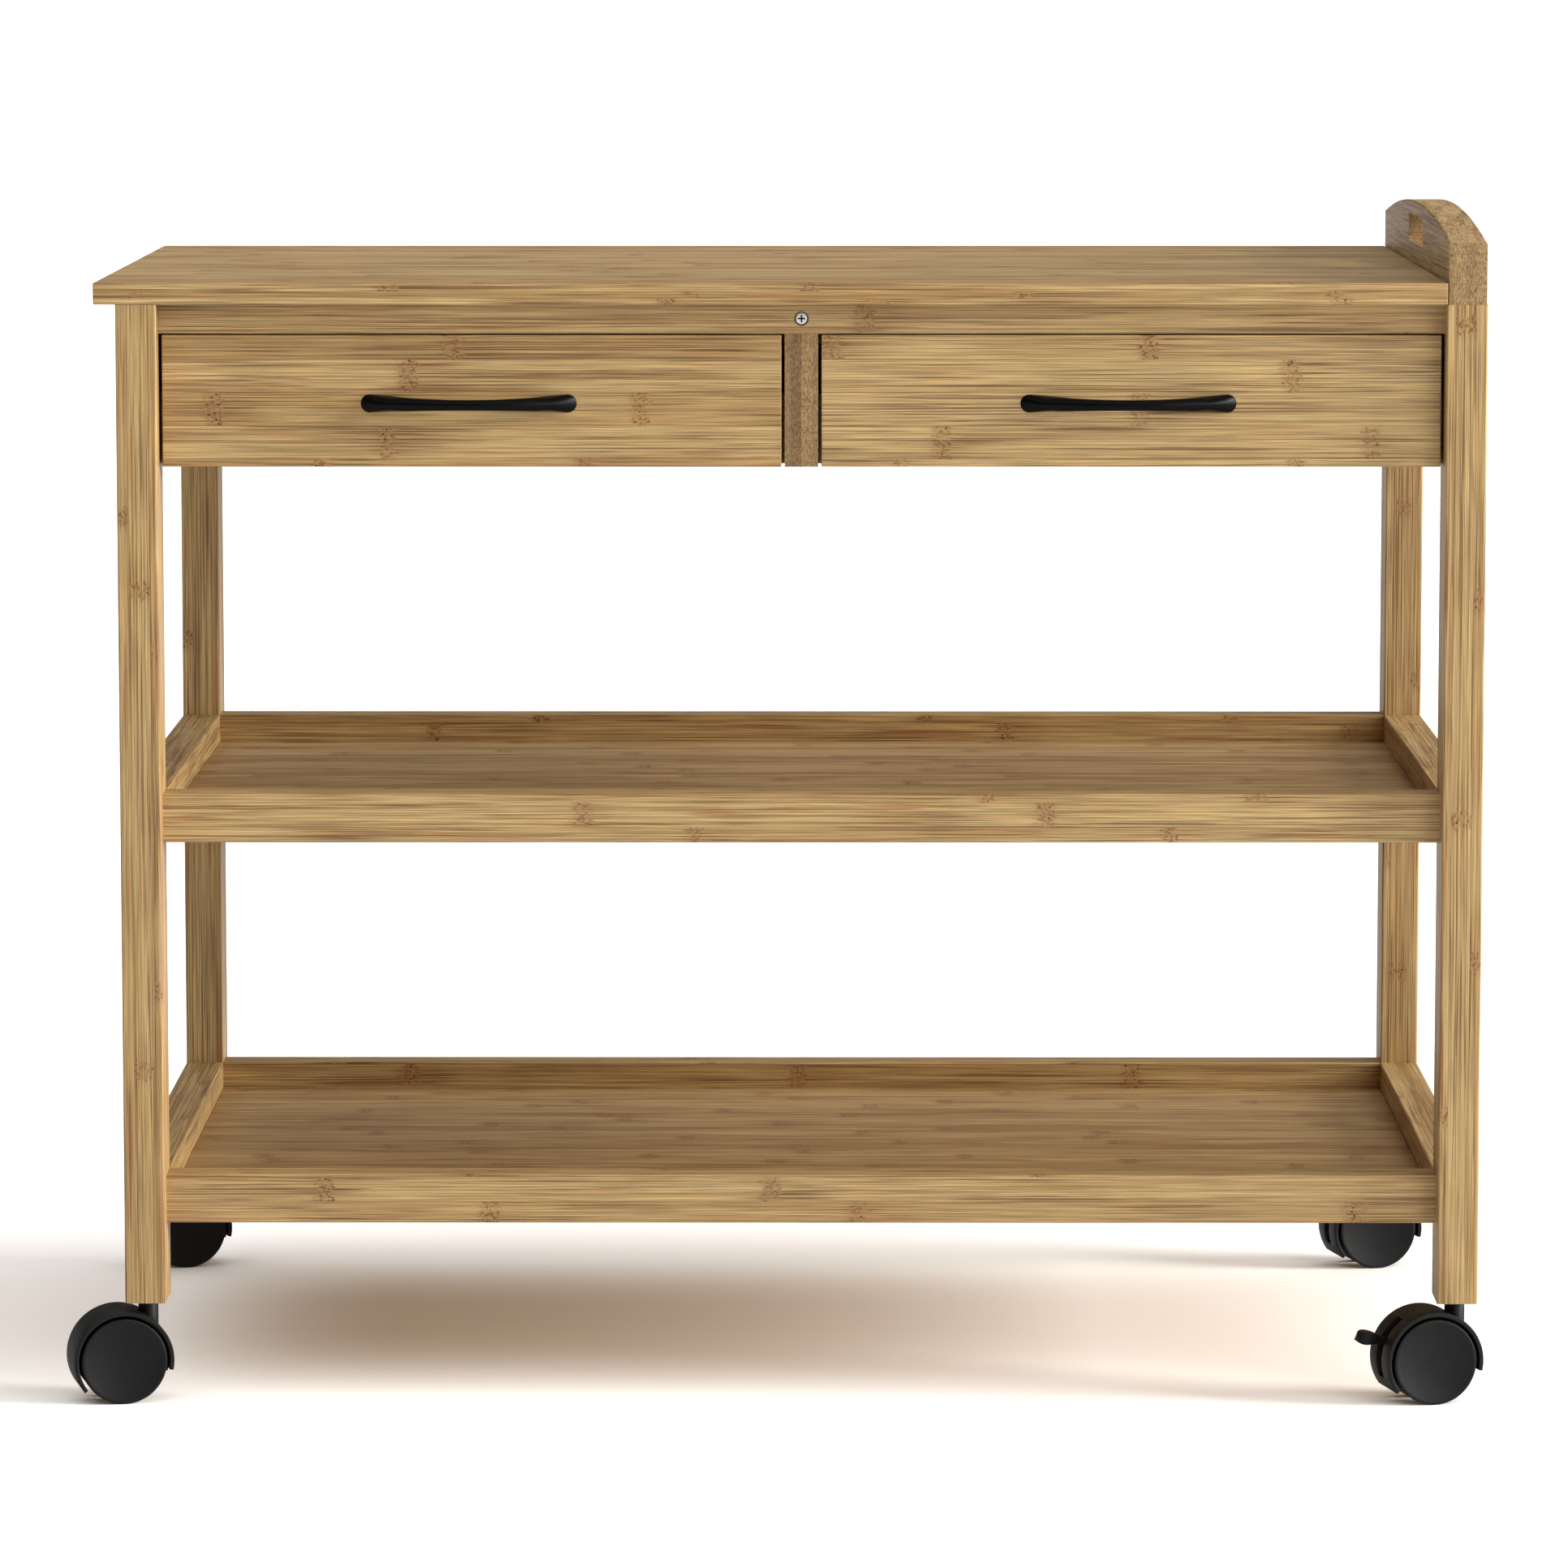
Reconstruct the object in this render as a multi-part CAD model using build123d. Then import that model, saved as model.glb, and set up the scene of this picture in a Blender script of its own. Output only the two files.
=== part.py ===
from build123d import *
from math import cos, radians, sin
import os

# A rolling utility cart of laminated bamboo: two drawers, two tray shelves, four twin-wheel casters.
# Millimetres. X runs along the cart, Y from front to back, Z up. The origin is on the floor, at the
# centre of the rectangle that the four legs stand on.

# Overall sizes of the frame
frame_width = 940.0
frame_depth = 565.0
worktop_height = 780.0
lower_shelf_base = 125.0
upper_shelf_base = 392.0

# Boards and rails
leg_width = 28.0
leg_depth = 45.0
worktop_thickness = 15.0
worktop_overhang = 15.0
worktop_end_gap = 0.5
rail_thickness = 28.0
shelf_rail_height = 34.0
apron_rail_height = 20.7
drawer_zone_height = 112.3
panel_thickness = 18.0
divider_thickness = 23.0
shelf_thickness = 9.0
shelf_tongue_thickness = 7.0
shelf_field_gap = 0.3
shelf_lift = 5.0
groove_play = 0.2
groove_end_play = 0.5
leg_ease = 1.5
rail_ease = 1.0
board_ease = 0.8

# Handle board on the right-hand legs
handle_thickness = 26.0
handle_end_height = 42.5
handle_middle_height = 59.5
handle_slot_length = 124.0
handle_slot_height = 20.0
handle_slot_cover = 10.1
handle_slot_corner = 5.0
handle_ease = 1.2

# Drawers
drawer_side_gap = 2.25
drawer_top_gap = 0.9
drawer_front_thickness = 18.0
drawer_back_room = 45.0
drawer_box_drop = 12.7
drawer_box_lift = 8.0
drawer_box_inset = 10.0
drawer_wall = 12.0
drawer_bottom_thickness = 5.0
drawer_bottom_lift = 8.0
drawer_bottom_tongue = 6.0
runner_height = 12.0
runner_groove_depth = 6.0
runner_play = 0.5
runner_board_lift = 1.0
runner_board_gap = 1.0
runner_front_gap = 1.0

# Bow pulls and their screws
pull_length = 148.6
pull_hole_spacing = 128.0
pull_reach = 25.0
pull_bar_thickness = 8.0
pull_foot = 20.0
pull_end_height = 12.6
pull_middle_height = 7.4
pull_shift = -2.0
pull_drop = 1.7
pull_screw_radius = 2.0
pull_screw_bite = 5.0
pull_screw_head_radius = 4.0
pull_screw_head_height = 2.5
screw_hole_play = 0.25

# Bolts, barrel nuts, dowels and wood screws of the frame
bolt_radius = 3.0
bolt_head_radius = 5.5
bolt_head_height = 3.0
bolt_pocket_depth = 4.0
bolt_play = 0.2
bolt_pocket_play = 0.5
bolt_tip = 8.0
bolt_head_ease = 1.2
hex_socket_width = 4.0
hex_socket_depth = 2.0
nut_radius = 5.0
nut_length = 12.0
nut_inset = 25.0
nut_wall = 1.0
dowel_radius = 4.0
dowel_depth = 20.0
dowel_blind_depth = 9.0
dowel_wall = 1.3
panel_dowels = 2
screw_radius = 2.2
screw_length = 55.0
screw_head_radius = 4.25
screw_head_height = 2.6
screw_pocket_play = 0.75
screw_pocket_depth = 3.2
cross_recess_length = 5.0
cross_recess_width = 1.1
cross_recess_depth = 1.5
divider_screw_edge = 28.0

# Casters
wheel_radius = 30.0
wheel_width = 12.1
wheel_face_bevel = 0.8
wheel_side_gap = 1.2
wheel_rim_wall = 4.0
wheel_hub_wall = 6.0
wheel_face_wall = 4.1
wheel_cap_wall = 2.1
axle_radius = 3.0
axle_end_play = 0.5
running_fit = 0.05
hood_gap = 2.0
hood_wall = 3.0
hood_side_cover = 0.2
hood_front_angle = -12.0
hood_back_angle = 217.0
hood_web_drop = 10.0
caster_trail = 20.0
caster_turn = 13.7
neck_radius = 7.0
neck_length = 6.0
stem_flange_thickness = 2.0
swivel_gap = 0.5
stem_radius = 4.0
stem_pin_length = 22.0
stem_thread_length = 30.0
socket_wall = 2.0

# Brake levers
brake_slot_start = 124.0
brake_slot_end = 201.0
brake_slot_play = 2.5
lever_angle = 157.0
lever_hub_radius = 7.5
lever_hub_play = 1.0
lever_side_play = 0.3
lever_thickness = 6.0
lever_arm_width = 5.0
lever_paddle_width = 14.0
lever_paddle_thickness = 4.5
lever_paddle_length = 17.0
lever_paddle_corner = 5.5
lever_paddle_tilt = 12.0
lever_paddle_gap = 1.0

# Places that follow from the sizes
leg_out_x = frame_width / 2
leg_in_x = leg_out_x - leg_width
leg_mid_x = leg_out_x - leg_width / 2
leg_out_y = frame_depth / 2
leg_in_y = leg_out_y - leg_depth
leg_mid_y = leg_out_y - leg_depth / 2
rail_out_y = leg_in_y + rail_thickness
rail_mid_y = leg_in_y + rail_thickness / 2
panel_mid_x = leg_in_x + panel_thickness / 2
panel_mid_y = leg_in_y + panel_thickness / 2
shelf_tongue = rail_thickness / 2 - nut_radius - nut_wall
shelf_top_lift = shelf_lift + shelf_thickness
wheel_middle_gap = 2 * neck_radius + 2 * wheel_side_gap
wheel_bore_depth = wheel_width - wheel_cap_wall
hood_width = wheel_middle_gap + 2 * wheel_width + 2 * hood_side_cover
hood_inner_radius = wheel_radius + hood_gap
hood_radius = hood_inner_radius + hood_wall
leg_foot = wheel_radius + hood_radius + neck_length
socket_length = stem_thread_length + socket_wall
leg_top = worktop_height - worktop_thickness
apron_base = leg_top - apron_rail_height
zone_base = leg_top - drawer_zone_height
apron_mid = leg_top - apron_rail_height / 2
handle_in_x = leg_mid_x - handle_thickness / 2
drawer_opening = leg_in_x - divider_thickness / 2
drawer_mid_x = divider_thickness / 2 + drawer_opening / 2
drawer_front_width = drawer_opening - 2 * drawer_side_gap
drawer_front_top = apron_base - drawer_top_gap
drawer_front_mid = (zone_base + drawer_front_top) / 2
pull_z = drawer_front_mid - pull_drop
drawer_front_back_y = -rail_out_y + drawer_front_thickness
drawer_box_width = drawer_front_width - 2 * drawer_box_inset
drawer_box_base = zone_base + drawer_box_lift
drawer_box_top = drawer_front_top - drawer_box_drop
drawer_box_end_y = leg_in_y - drawer_back_room
drawer_bottom_base = drawer_box_base + drawer_bottom_lift
runner_mid = (drawer_box_base + drawer_box_top) / 2
top_dowel_y = leg_in_y + rail_thickness / 2 + bolt_radius + bolt_play + dowel_radius + dowel_wall
side_dowel_offset = bolt_radius + bolt_play + dowel_radius + 2 * dowel_wall
shelf_bases = {"upper": upper_shelf_base, "lower": lower_shelf_base}
sides = {"left": -1, "right": 1}
ends = {"front": -1, "rear": 1}


def block(x_span, y_span, z_span):
    """A box between the two ends of each span."""
    spans = (x_span, y_span, z_span)
    sizes = [abs(span[1] - span[0]) for span in spans]
    middle = [(span[0] + span[1]) / 2 for span in spans]
    return Pos(*middle) * Box(*sizes)


def rod(start, finish, radius):
    """A round bar from one point to another."""
    run = Vector(*finish) - Vector(*start)
    base = (Align.CENTER, Align.CENTER, Align.MIN)
    return Plane(origin=start, z_dir=run) * Cylinder(radius, run.length, align=base)


def ease(shape, axis, radius):
    """Round the edges that run along one axis."""
    return fillet(shape.edges().filter_by(axis), radius)


def joined(solids):
    """Separate pieces kept together as one node."""
    return Compound(children=list(solids))


def write(shape, node):
    export_step(shape, f"parts/{node}.step")


# Bolts run along X through a leg into the end of a rail, where a barrel nut crosses them.
def rail_bolt_points():
    """The (y, z, way the nut goes in) of every bolt on one side of the cart."""
    points = [(-rail_mid_y, apron_mid, (0, 0, -1))]
    for z in (zone_base + divider_screw_edge, leg_top - divider_screw_edge):
        points.append((panel_mid_y, z, (0, -1, 0)))
    for base in shelf_bases.values():
        for end in ends.values():
            points.append((end * rail_mid_y, base + shelf_rail_height / 2, (0, 0, -1)))
    return points


def nut_x(side):
    return side * (leg_in_x - nut_inset)


def bolt_hole(side, y, z):
    tip_x = nut_x(side) - side * (bolt_tip + bolt_play)
    shank = rod((side * leg_out_x, y, z), (tip_x, y, z), bolt_radius + bolt_play)
    pocket_x = side * (leg_out_x - bolt_pocket_depth)
    pocket = rod((side * leg_out_x, y, z), (pocket_x, y, z), bolt_head_radius + bolt_pocket_play)
    return shank + pocket


def bolt(side, y, z):
    seat_x = side * (leg_out_x - bolt_pocket_depth)
    head_x = seat_x + side * bolt_head_height
    shank = rod((seat_x, y, z), (nut_x(side) - side * bolt_tip, y, z), bolt_radius)
    head = rod((seat_x, y, z), (head_x, y, z), bolt_head_radius)
    head = fillet(head.edges().filter_by(GeomType.CIRCLE).sort_by(Axis.X)[max(0, side) * -1], bolt_head_ease)
    socket_face = Plane(origin=(head_x, y, z), z_dir=(-side, 0, 0))
    socket = extrude(socket_face * RegularPolygon(hex_socket_width / 2, 6), hex_socket_depth)
    return shank + head - socket


def nut_span(side, y, z, way, extra):
    """The two ends of a barrel nut, or of the hole it goes in by, which runs on by extra."""
    middle = Vector(nut_x(side), y, z)
    inward = Vector(*way) * -1
    return middle + inward * (nut_length / 2), middle - inward * (nut_length / 2 + extra)


def nut_hole(side, y, z, way):
    start, finish = nut_span(side, y, z, way, rail_thickness)
    return rod(start, finish, nut_radius)


def barrel_nut(side, y, z, way):
    start, finish = nut_span(side, y, z, way, 0)
    reach = Vector(nut_radius, 0, 0)
    middle = Vector(nut_x(side), y, z)
    return rod(start, finish, nut_radius) - rod(middle - reach, middle + reach, bolt_radius)


def drill_rail(shape, points):
    """Bolt and nut holes at both ends of a rail."""
    for side in sides.values():
        for y, z, way in points:
            shape = shape - bolt_hole(side, y, z) - nut_hole(side, y, z, way)
    return shape


# Dowels join the side rails to the legs, and the legs to the worktop and the handle board.
def side_dowels(side, end):
    spots = [(side * leg_mid_x, base + shelf_rail_height / 2 + turn * side_dowel_offset)
             for base in shelf_bases.values() for turn in (-1, 1)]
    step = drawer_zone_height / (panel_dowels + 1)
    spots += [(side * panel_mid_x, zone_base + row * step) for row in range(1, panel_dowels + 1)]
    reach = (end * (leg_in_y - dowel_depth), end * (leg_in_y + dowel_depth))
    return [rod((x, reach[0], z), (x, reach[1], z), dowel_radius) for x, z in spots]


def top_dowel(side, end):
    blind = dowel_blind_depth if side < 0 else dowel_depth
    x = side * leg_mid_x
    y = end * top_dowel_y
    return rod((x, y, leg_top - dowel_depth), (x, y, leg_top + blind), dowel_radius)


def leg(side, end):
    shape = block((side * leg_in_x, side * leg_out_x), (end * leg_in_y, end * leg_out_y), (leg_foot, leg_top))
    shape = ease(shape, Axis.Z, leg_ease)
    for y, z, way in rail_bolt_points():
        if y * end > 0:
            shape -= bolt_hole(side, y, z)
    for dowel in side_dowels(side, end) + [top_dowel(side, end)]:
        shape -= dowel
    middle = (side * leg_mid_x, end * leg_mid_y)
    return shape - rod((*middle, leg_foot), (*middle, leg_foot + socket_length), stem_radius + socket_wall)


def worktop():
    left = -leg_out_x - worktop_overhang
    right = handle_in_x - worktop_end_gap
    shape = block((left, right), (-leg_out_y, leg_out_y), (leg_top, worktop_height))
    shape = fillet(shape.edges(), rail_ease)
    for end in ends.values():
        shape -= top_dowel(-1, end)
    return shape


def handle_board():
    """An arched board along the right-hand end, with a grip slot right through it."""
    low = leg_top
    shoulder = leg_top + handle_end_height
    crown = leg_top + handle_middle_height
    floor_line = Polyline((-leg_out_y, shoulder), (-leg_out_y, low), (leg_out_y, low), (leg_out_y, shoulder))
    arch = ThreePointArc((leg_out_y, shoulder), (0, crown), (-leg_out_y, shoulder))
    outline = make_face(floor_line + arch)
    slot_mid = crown - handle_slot_cover - handle_slot_height / 2
    slot = Pos(0, slot_mid) * RectangleRounded(handle_slot_length, handle_slot_height, handle_slot_corner)
    profile = Plane(origin=(handle_in_x, 0, 0), x_dir=(0, 1, 0), z_dir=(1, 0, 0))
    shape = extrude(profile * outline, handle_thickness)
    shape = fillet(shape.edges().filter_by(GeomType.CIRCLE), handle_ease)
    shape = shape - extrude(profile * slot, handle_thickness)
    for end in ends.values():
        shape -= top_dowel(1, end)
    return shape


def zone_points(end):
    """Bolt points of the front or rear rail of the drawer zone."""
    return [point for point in rail_bolt_points() if point[0] * end > 0 and point[1] > zone_base]


def front_apron():
    shape = block((-leg_in_x, leg_in_x), (-rail_out_y, -leg_in_y), (apron_base, leg_top))
    shape = ease(shape, Axis.X, rail_ease)
    return drill_rail(shape, zone_points(-1)) - divider_screw_holes("front")


def rear_apron():
    shape = block((-leg_in_x, leg_in_x), (leg_in_y, leg_in_y + panel_thickness), (zone_base, leg_top))
    shape = ease(shape, Axis.X, rail_ease)
    return drill_rail(shape, zone_points(1)) - divider_screw_holes("rear")


def side_apron(side):
    near_x = side * leg_in_x
    far_x = side * (leg_in_x + panel_thickness)
    shape = block((near_x, far_x), (-leg_in_y, leg_in_y), (zone_base, leg_top))
    shape = ease(shape, Axis.Y, rail_ease)
    for end in ends.values():
        for dowel in side_dowels(side, end):
            shape -= dowel
    return shape


# Wood screws hold the divider between the front apron and the rear apron.
def divider_screw_points(end_name):
    if end_name == "front":
        return [apron_mid]
    return [zone_base + divider_screw_edge, leg_top - divider_screw_edge]


def divider_screw_face(end_name):
    """The outer face that a screw goes in by, and the way it goes."""
    if end_name == "front":
        return -rail_out_y, 1
    return leg_in_y + panel_thickness, -1


def divider_screw(end_name, z):
    face, way = divider_screw_face(end_name)
    seat = face + way * screw_pocket_depth
    crown = seat - way * screw_head_height
    shape = rod((0, seat, z), (0, seat + way * screw_length, z), screw_radius)
    shape += rod((0, crown, z), (0, seat, z), screw_head_radius)
    recess_span = (crown, crown + way * cross_recess_depth)
    half = cross_recess_length / 2
    thin = cross_recess_width / 2
    shape -= block((-half, half), recess_span, (z - thin, z + thin))
    shape -= block((-thin, thin), recess_span, (z - half, z + half))
    return shape


def divider_screw_holes(end_name):
    face, way = divider_screw_face(end_name)
    holes = Part()
    for z in divider_screw_points(end_name):
        end_y = face + way * (screw_pocket_depth + screw_length)
        holes += rod((0, face, z), (0, end_y, z), screw_radius)
        floor = face + way * screw_pocket_depth
        holes += rod((0, face, z), (0, floor, z), screw_head_radius + screw_pocket_play)
    return holes


def divider():
    """Stands between the drawers, notched under the front apron, with its end grain to the front."""
    span_x = (-divider_thickness / 2, divider_thickness / 2)
    shape = block(span_x, (-rail_out_y, leg_in_y), (zone_base, leg_top))
    shape -= block(span_x, (-rail_out_y, -leg_in_y), (apron_base, leg_top))
    return shape - divider_screw_holes("front") - divider_screw_holes("rear")


# Each shelf is a tray: four rails round a thin panel that sits in their grooves.
def shelf_groove(base):
    reach = shelf_tongue + groove_end_play
    span_z = (base + shelf_lift, base + shelf_lift + shelf_tongue_thickness + groove_play)
    long_way = block((-leg_in_x - reach, leg_in_x + reach), (-leg_in_y, leg_in_y), span_z)
    cross_way = block((-leg_in_x, leg_in_x), (-leg_in_y - reach, leg_in_y + reach), span_z)
    return long_way + cross_way


def shelf_long_rail(base, end):
    shape = block((-leg_in_x, leg_in_x), (end * leg_in_y, end * rail_out_y), (base, base + shelf_rail_height))
    shape = ease(shape, Axis.X, rail_ease)
    points = [point for point in rail_bolt_points()
              if point[0] * end > 0 and base < point[1] < base + shelf_rail_height]
    return drill_rail(shape, points) - shelf_groove(base)


def shelf_side_rail(base, side):
    span_x = (side * leg_in_x, side * leg_out_x)
    shape = block(span_x, (-leg_in_y, leg_in_y), (base, base + shelf_rail_height))
    shape = ease(shape, Axis.Y, rail_ease)
    for end in ends.values():
        for dowel in side_dowels(side, end):
            shape -= dowel
    return shape - shelf_groove(base)


def shelf_panel(base):
    """A board with a thinner edge all round, so that only its middle stands between the rails."""
    tongue_z = (base + shelf_lift, base + shelf_lift + shelf_tongue_thickness)
    field_z = (base + shelf_lift, base + shelf_top_lift)
    long_x = leg_in_x + shelf_tongue
    long_y = leg_in_y + shelf_tongue
    field_x = leg_in_x - shelf_field_gap
    field_y = leg_in_y - shelf_field_gap
    shape = block((-field_x, field_x), (-field_y, field_y), field_z)
    shape += block((-long_x, long_x), (-leg_in_y, leg_in_y), tongue_z)
    return shape + block((-leg_in_x, leg_in_x), (-long_y, long_y), tongue_z)


# Drawers: a front, a box of four thin boards, and grooves that ride on fixed strips.
def drawer_middle(side):
    return side * drawer_mid_x


def pull_middle(side):
    return drawer_middle(side) + pull_shift


def runner_strip(side, face):
    """One strip: face is -1 for the drawer's left-hand strip and +1 for its right-hand one."""
    wall_x = drawer_middle(side) + face * drawer_opening / 2
    box_x = drawer_middle(side) + face * drawer_box_width / 2
    tip_x = box_x - face * (runner_groove_depth - runner_play)
    half = runner_height / 2
    span_y = (drawer_front_back_y + runner_front_gap, leg_in_y)
    board_z = (zone_base + runner_board_lift, runner_mid + half)
    board = block((wall_x, box_x + face * runner_board_gap), span_y, board_z)
    return board + block((wall_x, tip_x), span_y, (runner_mid - half, runner_mid + half))


def drawer_front(side):
    middle = drawer_middle(side)
    half = drawer_front_width / 2
    span_y = (-rail_out_y, drawer_front_back_y)
    shape = block((middle - half, middle + half), span_y, (zone_base, drawer_front_top))
    shape = fillet(shape.edges(), board_ease)
    for hand in (-1, 1):
        x = pull_middle(side) + hand * pull_hole_spacing / 2
        ends_y = ((x, -rail_out_y, pull_z), (x, drawer_front_back_y, pull_z))
        shape -= rod(*ends_y, pull_screw_radius + screw_hole_play)
    return shape - drawer_bottom_space(side)


def drawer_side(side, face):
    outer = drawer_middle(side) + face * drawer_box_width / 2
    inner = outer - face * drawer_wall
    span_y = (drawer_front_back_y, drawer_box_end_y)
    shape = block((inner, outer), span_y, (drawer_box_base, drawer_box_top))
    half = runner_height / 2 + runner_play
    groove_x = (outer - face * runner_groove_depth, outer)
    groove = block(groove_x, span_y, (runner_mid - half, runner_mid + half))
    return shape - groove - drawer_bottom_space(side)


def drawer_back(side):
    half = drawer_box_width / 2 - drawer_wall
    middle = drawer_middle(side)
    span_y = (drawer_box_end_y - drawer_wall, drawer_box_end_y)
    base = drawer_bottom_base + drawer_bottom_thickness
    return block((middle - half, middle + half), span_y, (base, drawer_box_top))


def drawer_bottom(side):
    half = drawer_box_width / 2 - drawer_wall + drawer_bottom_tongue - runner_play
    middle = drawer_middle(side)
    span_y = (drawer_front_back_y - drawer_bottom_tongue + runner_play, drawer_box_end_y)
    span_z = (drawer_bottom_base, drawer_bottom_base + drawer_bottom_thickness)
    return block((middle - half, middle + half), span_y, span_z)


def drawer_bottom_space(side):
    """The groove that the drawer's bottom slides into."""
    half = drawer_box_width / 2 - drawer_wall + drawer_bottom_tongue
    middle = drawer_middle(side)
    span_y = (drawer_front_back_y - drawer_bottom_tongue, drawer_box_end_y)
    span_z = (drawer_bottom_base, drawer_bottom_base + drawer_bottom_thickness)
    return block((middle - half, middle + half), span_y, span_z)


def drawer_pull(side):
    """A bow that touches the front at both ends, thick at the feet and slim in the middle."""
    reach = pull_length / 2
    foot = reach - pull_foot
    inner_reach = pull_reach - pull_bar_thickness
    bow = ThreePointArc((-reach, 0), (0, -pull_reach), (reach, 0))
    right_foot = Line((reach, 0), (foot, 0))
    inside = ThreePointArc((foot, 0), (0, -inner_reach), (-foot, 0))
    left_foot = Line((-foot, 0), (-reach, 0))
    plan = extrude(make_face(bow + right_foot + inside + left_foot), pull_end_height, both=True)
    end_half = pull_end_height / 2
    slim_half = pull_middle_height / 2
    shoulder = reach - end_half
    upper = ThreePointArc((-shoulder, end_half), (0, slim_half), (shoulder, end_half))
    right_end = ThreePointArc((shoulder, end_half), (reach, 0), (shoulder, -end_half))
    lower = ThreePointArc((shoulder, -end_half), (0, -slim_half), (-shoulder, -end_half))
    left_end = ThreePointArc((-shoulder, -end_half), (-reach, 0), (-shoulder, end_half))
    face = Plane.XZ * make_face(upper + right_end + lower + left_end)
    shape = plan & extrude(face, 2 * pull_reach, both=True)
    shape = Pos(pull_middle(side), -rail_out_y, pull_z) * shape
    for screw in pull_screws(side):
        shape -= screw
    return shape


def pull_screws(side):
    screws = []
    for hand in (-1, 1):
        x = pull_middle(side) + hand * pull_hole_spacing / 2
        tip_y = -rail_out_y - pull_screw_bite
        head_y = drawer_front_back_y + pull_screw_head_height
        shank = rod((x, tip_y, pull_z), (x, drawer_front_back_y, pull_z), pull_screw_radius)
        head = rod((x, drawer_front_back_y, pull_z), (x, head_y, pull_z), pull_screw_head_radius)
        half = cross_recess_length / 2
        thin = cross_recess_width / 2
        recess_span = (head_y - cross_recess_depth, head_y)
        flat_slot = block((x - half, x + half), recess_span, (pull_z - thin, pull_z + thin))
        upright_slot = block((x - thin, x + thin), recess_span, (pull_z - half, pull_z + half))
        screws.append(shank + head - flat_slot - upright_slot)
    return screws


# Casters, built about their swivel axis, with the wheels trailing towards -X.
def caster_place(side, end):
    return Pos(side * leg_mid_x, end * leg_mid_y, 0) * Rot(0, 0, caster_turn)


def around_axle(angle, radius):
    """A point in the plane across the axle, at an angle up from the caster's forward way."""
    turn = radians(angle)
    return radius * cos(turn) - caster_trail, radius * sin(turn) + wheel_radius


def sector(inner, outer, start, finish, width):
    """Part of a ring about the axle."""
    middle = (start + finish) / 2
    outside = ThreePointArc(*[around_axle(angle, outer) for angle in (start, middle, finish)])
    inside = ThreePointArc(*[around_axle(angle, inner) for angle in (finish, middle, start)])
    closing = Line(around_axle(finish, outer), around_axle(finish, inner))
    opening = Line(around_axle(start, inner), around_axle(start, outer))
    face = make_face(outside + closing + inside + opening)
    return extrude(Plane.XZ * face, width / 2, both=True)


def across_axle(radius, width):
    """A disc about the axle, centred between the wheels."""
    return rod((-caster_trail, -width / 2, wheel_radius), (-caster_trail, width / 2, wheel_radius), radius)


def caster_hood(braked):
    shell = sector(hood_inner_radius, hood_radius, hood_front_angle, hood_back_angle, hood_width)
    web = across_axle(hood_inner_radius + hood_wall / 2, 2 * neck_radius)
    web_low = wheel_radius - hood_web_drop
    below_x = (-caster_trail - hood_radius, hood_radius)
    web -= block(below_x, (-hood_width, hood_width), (-hood_radius, web_low))
    neck_top = leg_foot - stem_flange_thickness - swivel_gap
    neck = rod((0, 0, wheel_radius + neck_radius), (0, 0, neck_top), neck_radius)
    shape = shell + web + neck
    pin_end = leg_foot - stem_flange_thickness - stem_pin_length - 2 * swivel_gap
    shape -= rod((0, 0, pin_end), (0, 0, neck_top), stem_radius + running_fit)
    shape -= across_axle(axle_radius, hood_width)
    if braked:
        slot_width = lever_thickness + 2 * brake_slot_play
        cavity_width = lever_thickness + 2 * lever_side_play
        inner = hood_inner_radius - hood_wall
        shape -= sector(inner, hood_radius + hood_wall, brake_slot_start, brake_slot_end, slot_width)
        shape -= sector(axle_radius, hood_inner_radius, brake_slot_start, brake_slot_end, cavity_width)
        shape -= across_axle(lever_hub_radius + lever_hub_play, cavity_width)
    return shape


def caster_axle():
    half = wheel_middle_gap / 2 + wheel_bore_depth - axle_end_play
    return across_axle(axle_radius, 2 * half)


def caster_wheel(face):
    """A disc with a flat closed outer face and a pocket round the hub on its inner side."""
    inner = face * wheel_middle_gap / 2
    outer = inner + face * wheel_width

    def disc(radius, start, finish):
        return rod((-caster_trail, start, wheel_radius), (-caster_trail, finish, wheel_radius), radius)

    shape = chamfer(disc(wheel_radius, inner, outer).edges().filter_by(GeomType.CIRCLE), wheel_face_bevel)
    pocket_floor = outer - face * wheel_face_wall
    pocket = disc(wheel_radius - wheel_rim_wall, inner, pocket_floor)
    pocket -= disc(axle_radius + wheel_hub_wall, inner, pocket_floor)
    bore = disc(axle_radius + running_fit, inner, inner + face * wheel_bore_depth)
    return shape - pocket - bore


def brake_lever():
    """A flat arm on the axle that comes out through the hood and ends in a foot paddle."""
    hub = across_axle(lever_hub_radius, lever_thickness)
    arm_end = hood_radius + lever_paddle_gap
    half_arm = lever_thickness / 2
    arm_span = (0, arm_end + half_arm)
    arm = block(arm_span, (-half_arm, half_arm), (-lever_arm_width / 2, lever_arm_width / 2))
    outline = RectangleRounded(lever_paddle_length, lever_paddle_width, lever_paddle_corner)
    paddle = extrude(Pos(lever_paddle_length / 2, 0) * outline, lever_paddle_thickness / 2, both=True)
    paddle = Pos(arm_end, 0, 0) * Rot(0, -lever_paddle_tilt, 0) * paddle
    place = Pos(-caster_trail, 0, wheel_radius) * Rot(0, -lever_angle, 0)
    return hub + place * (arm + paddle) - across_axle(axle_radius + running_fit, hood_width)


def caster_stem(side, end):
    """A threaded stud in the leg, a flange under it and a plain pin that the hood turns on."""
    middle = (side * leg_mid_x, end * leg_mid_y)
    flange_base = leg_foot - stem_flange_thickness
    low = flange_base - stem_pin_length
    shape = rod((*middle, low), (*middle, leg_foot + stem_thread_length), stem_radius)
    return shape + rod((*middle, flange_base), (*middle, leg_foot), neck_radius)


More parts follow.
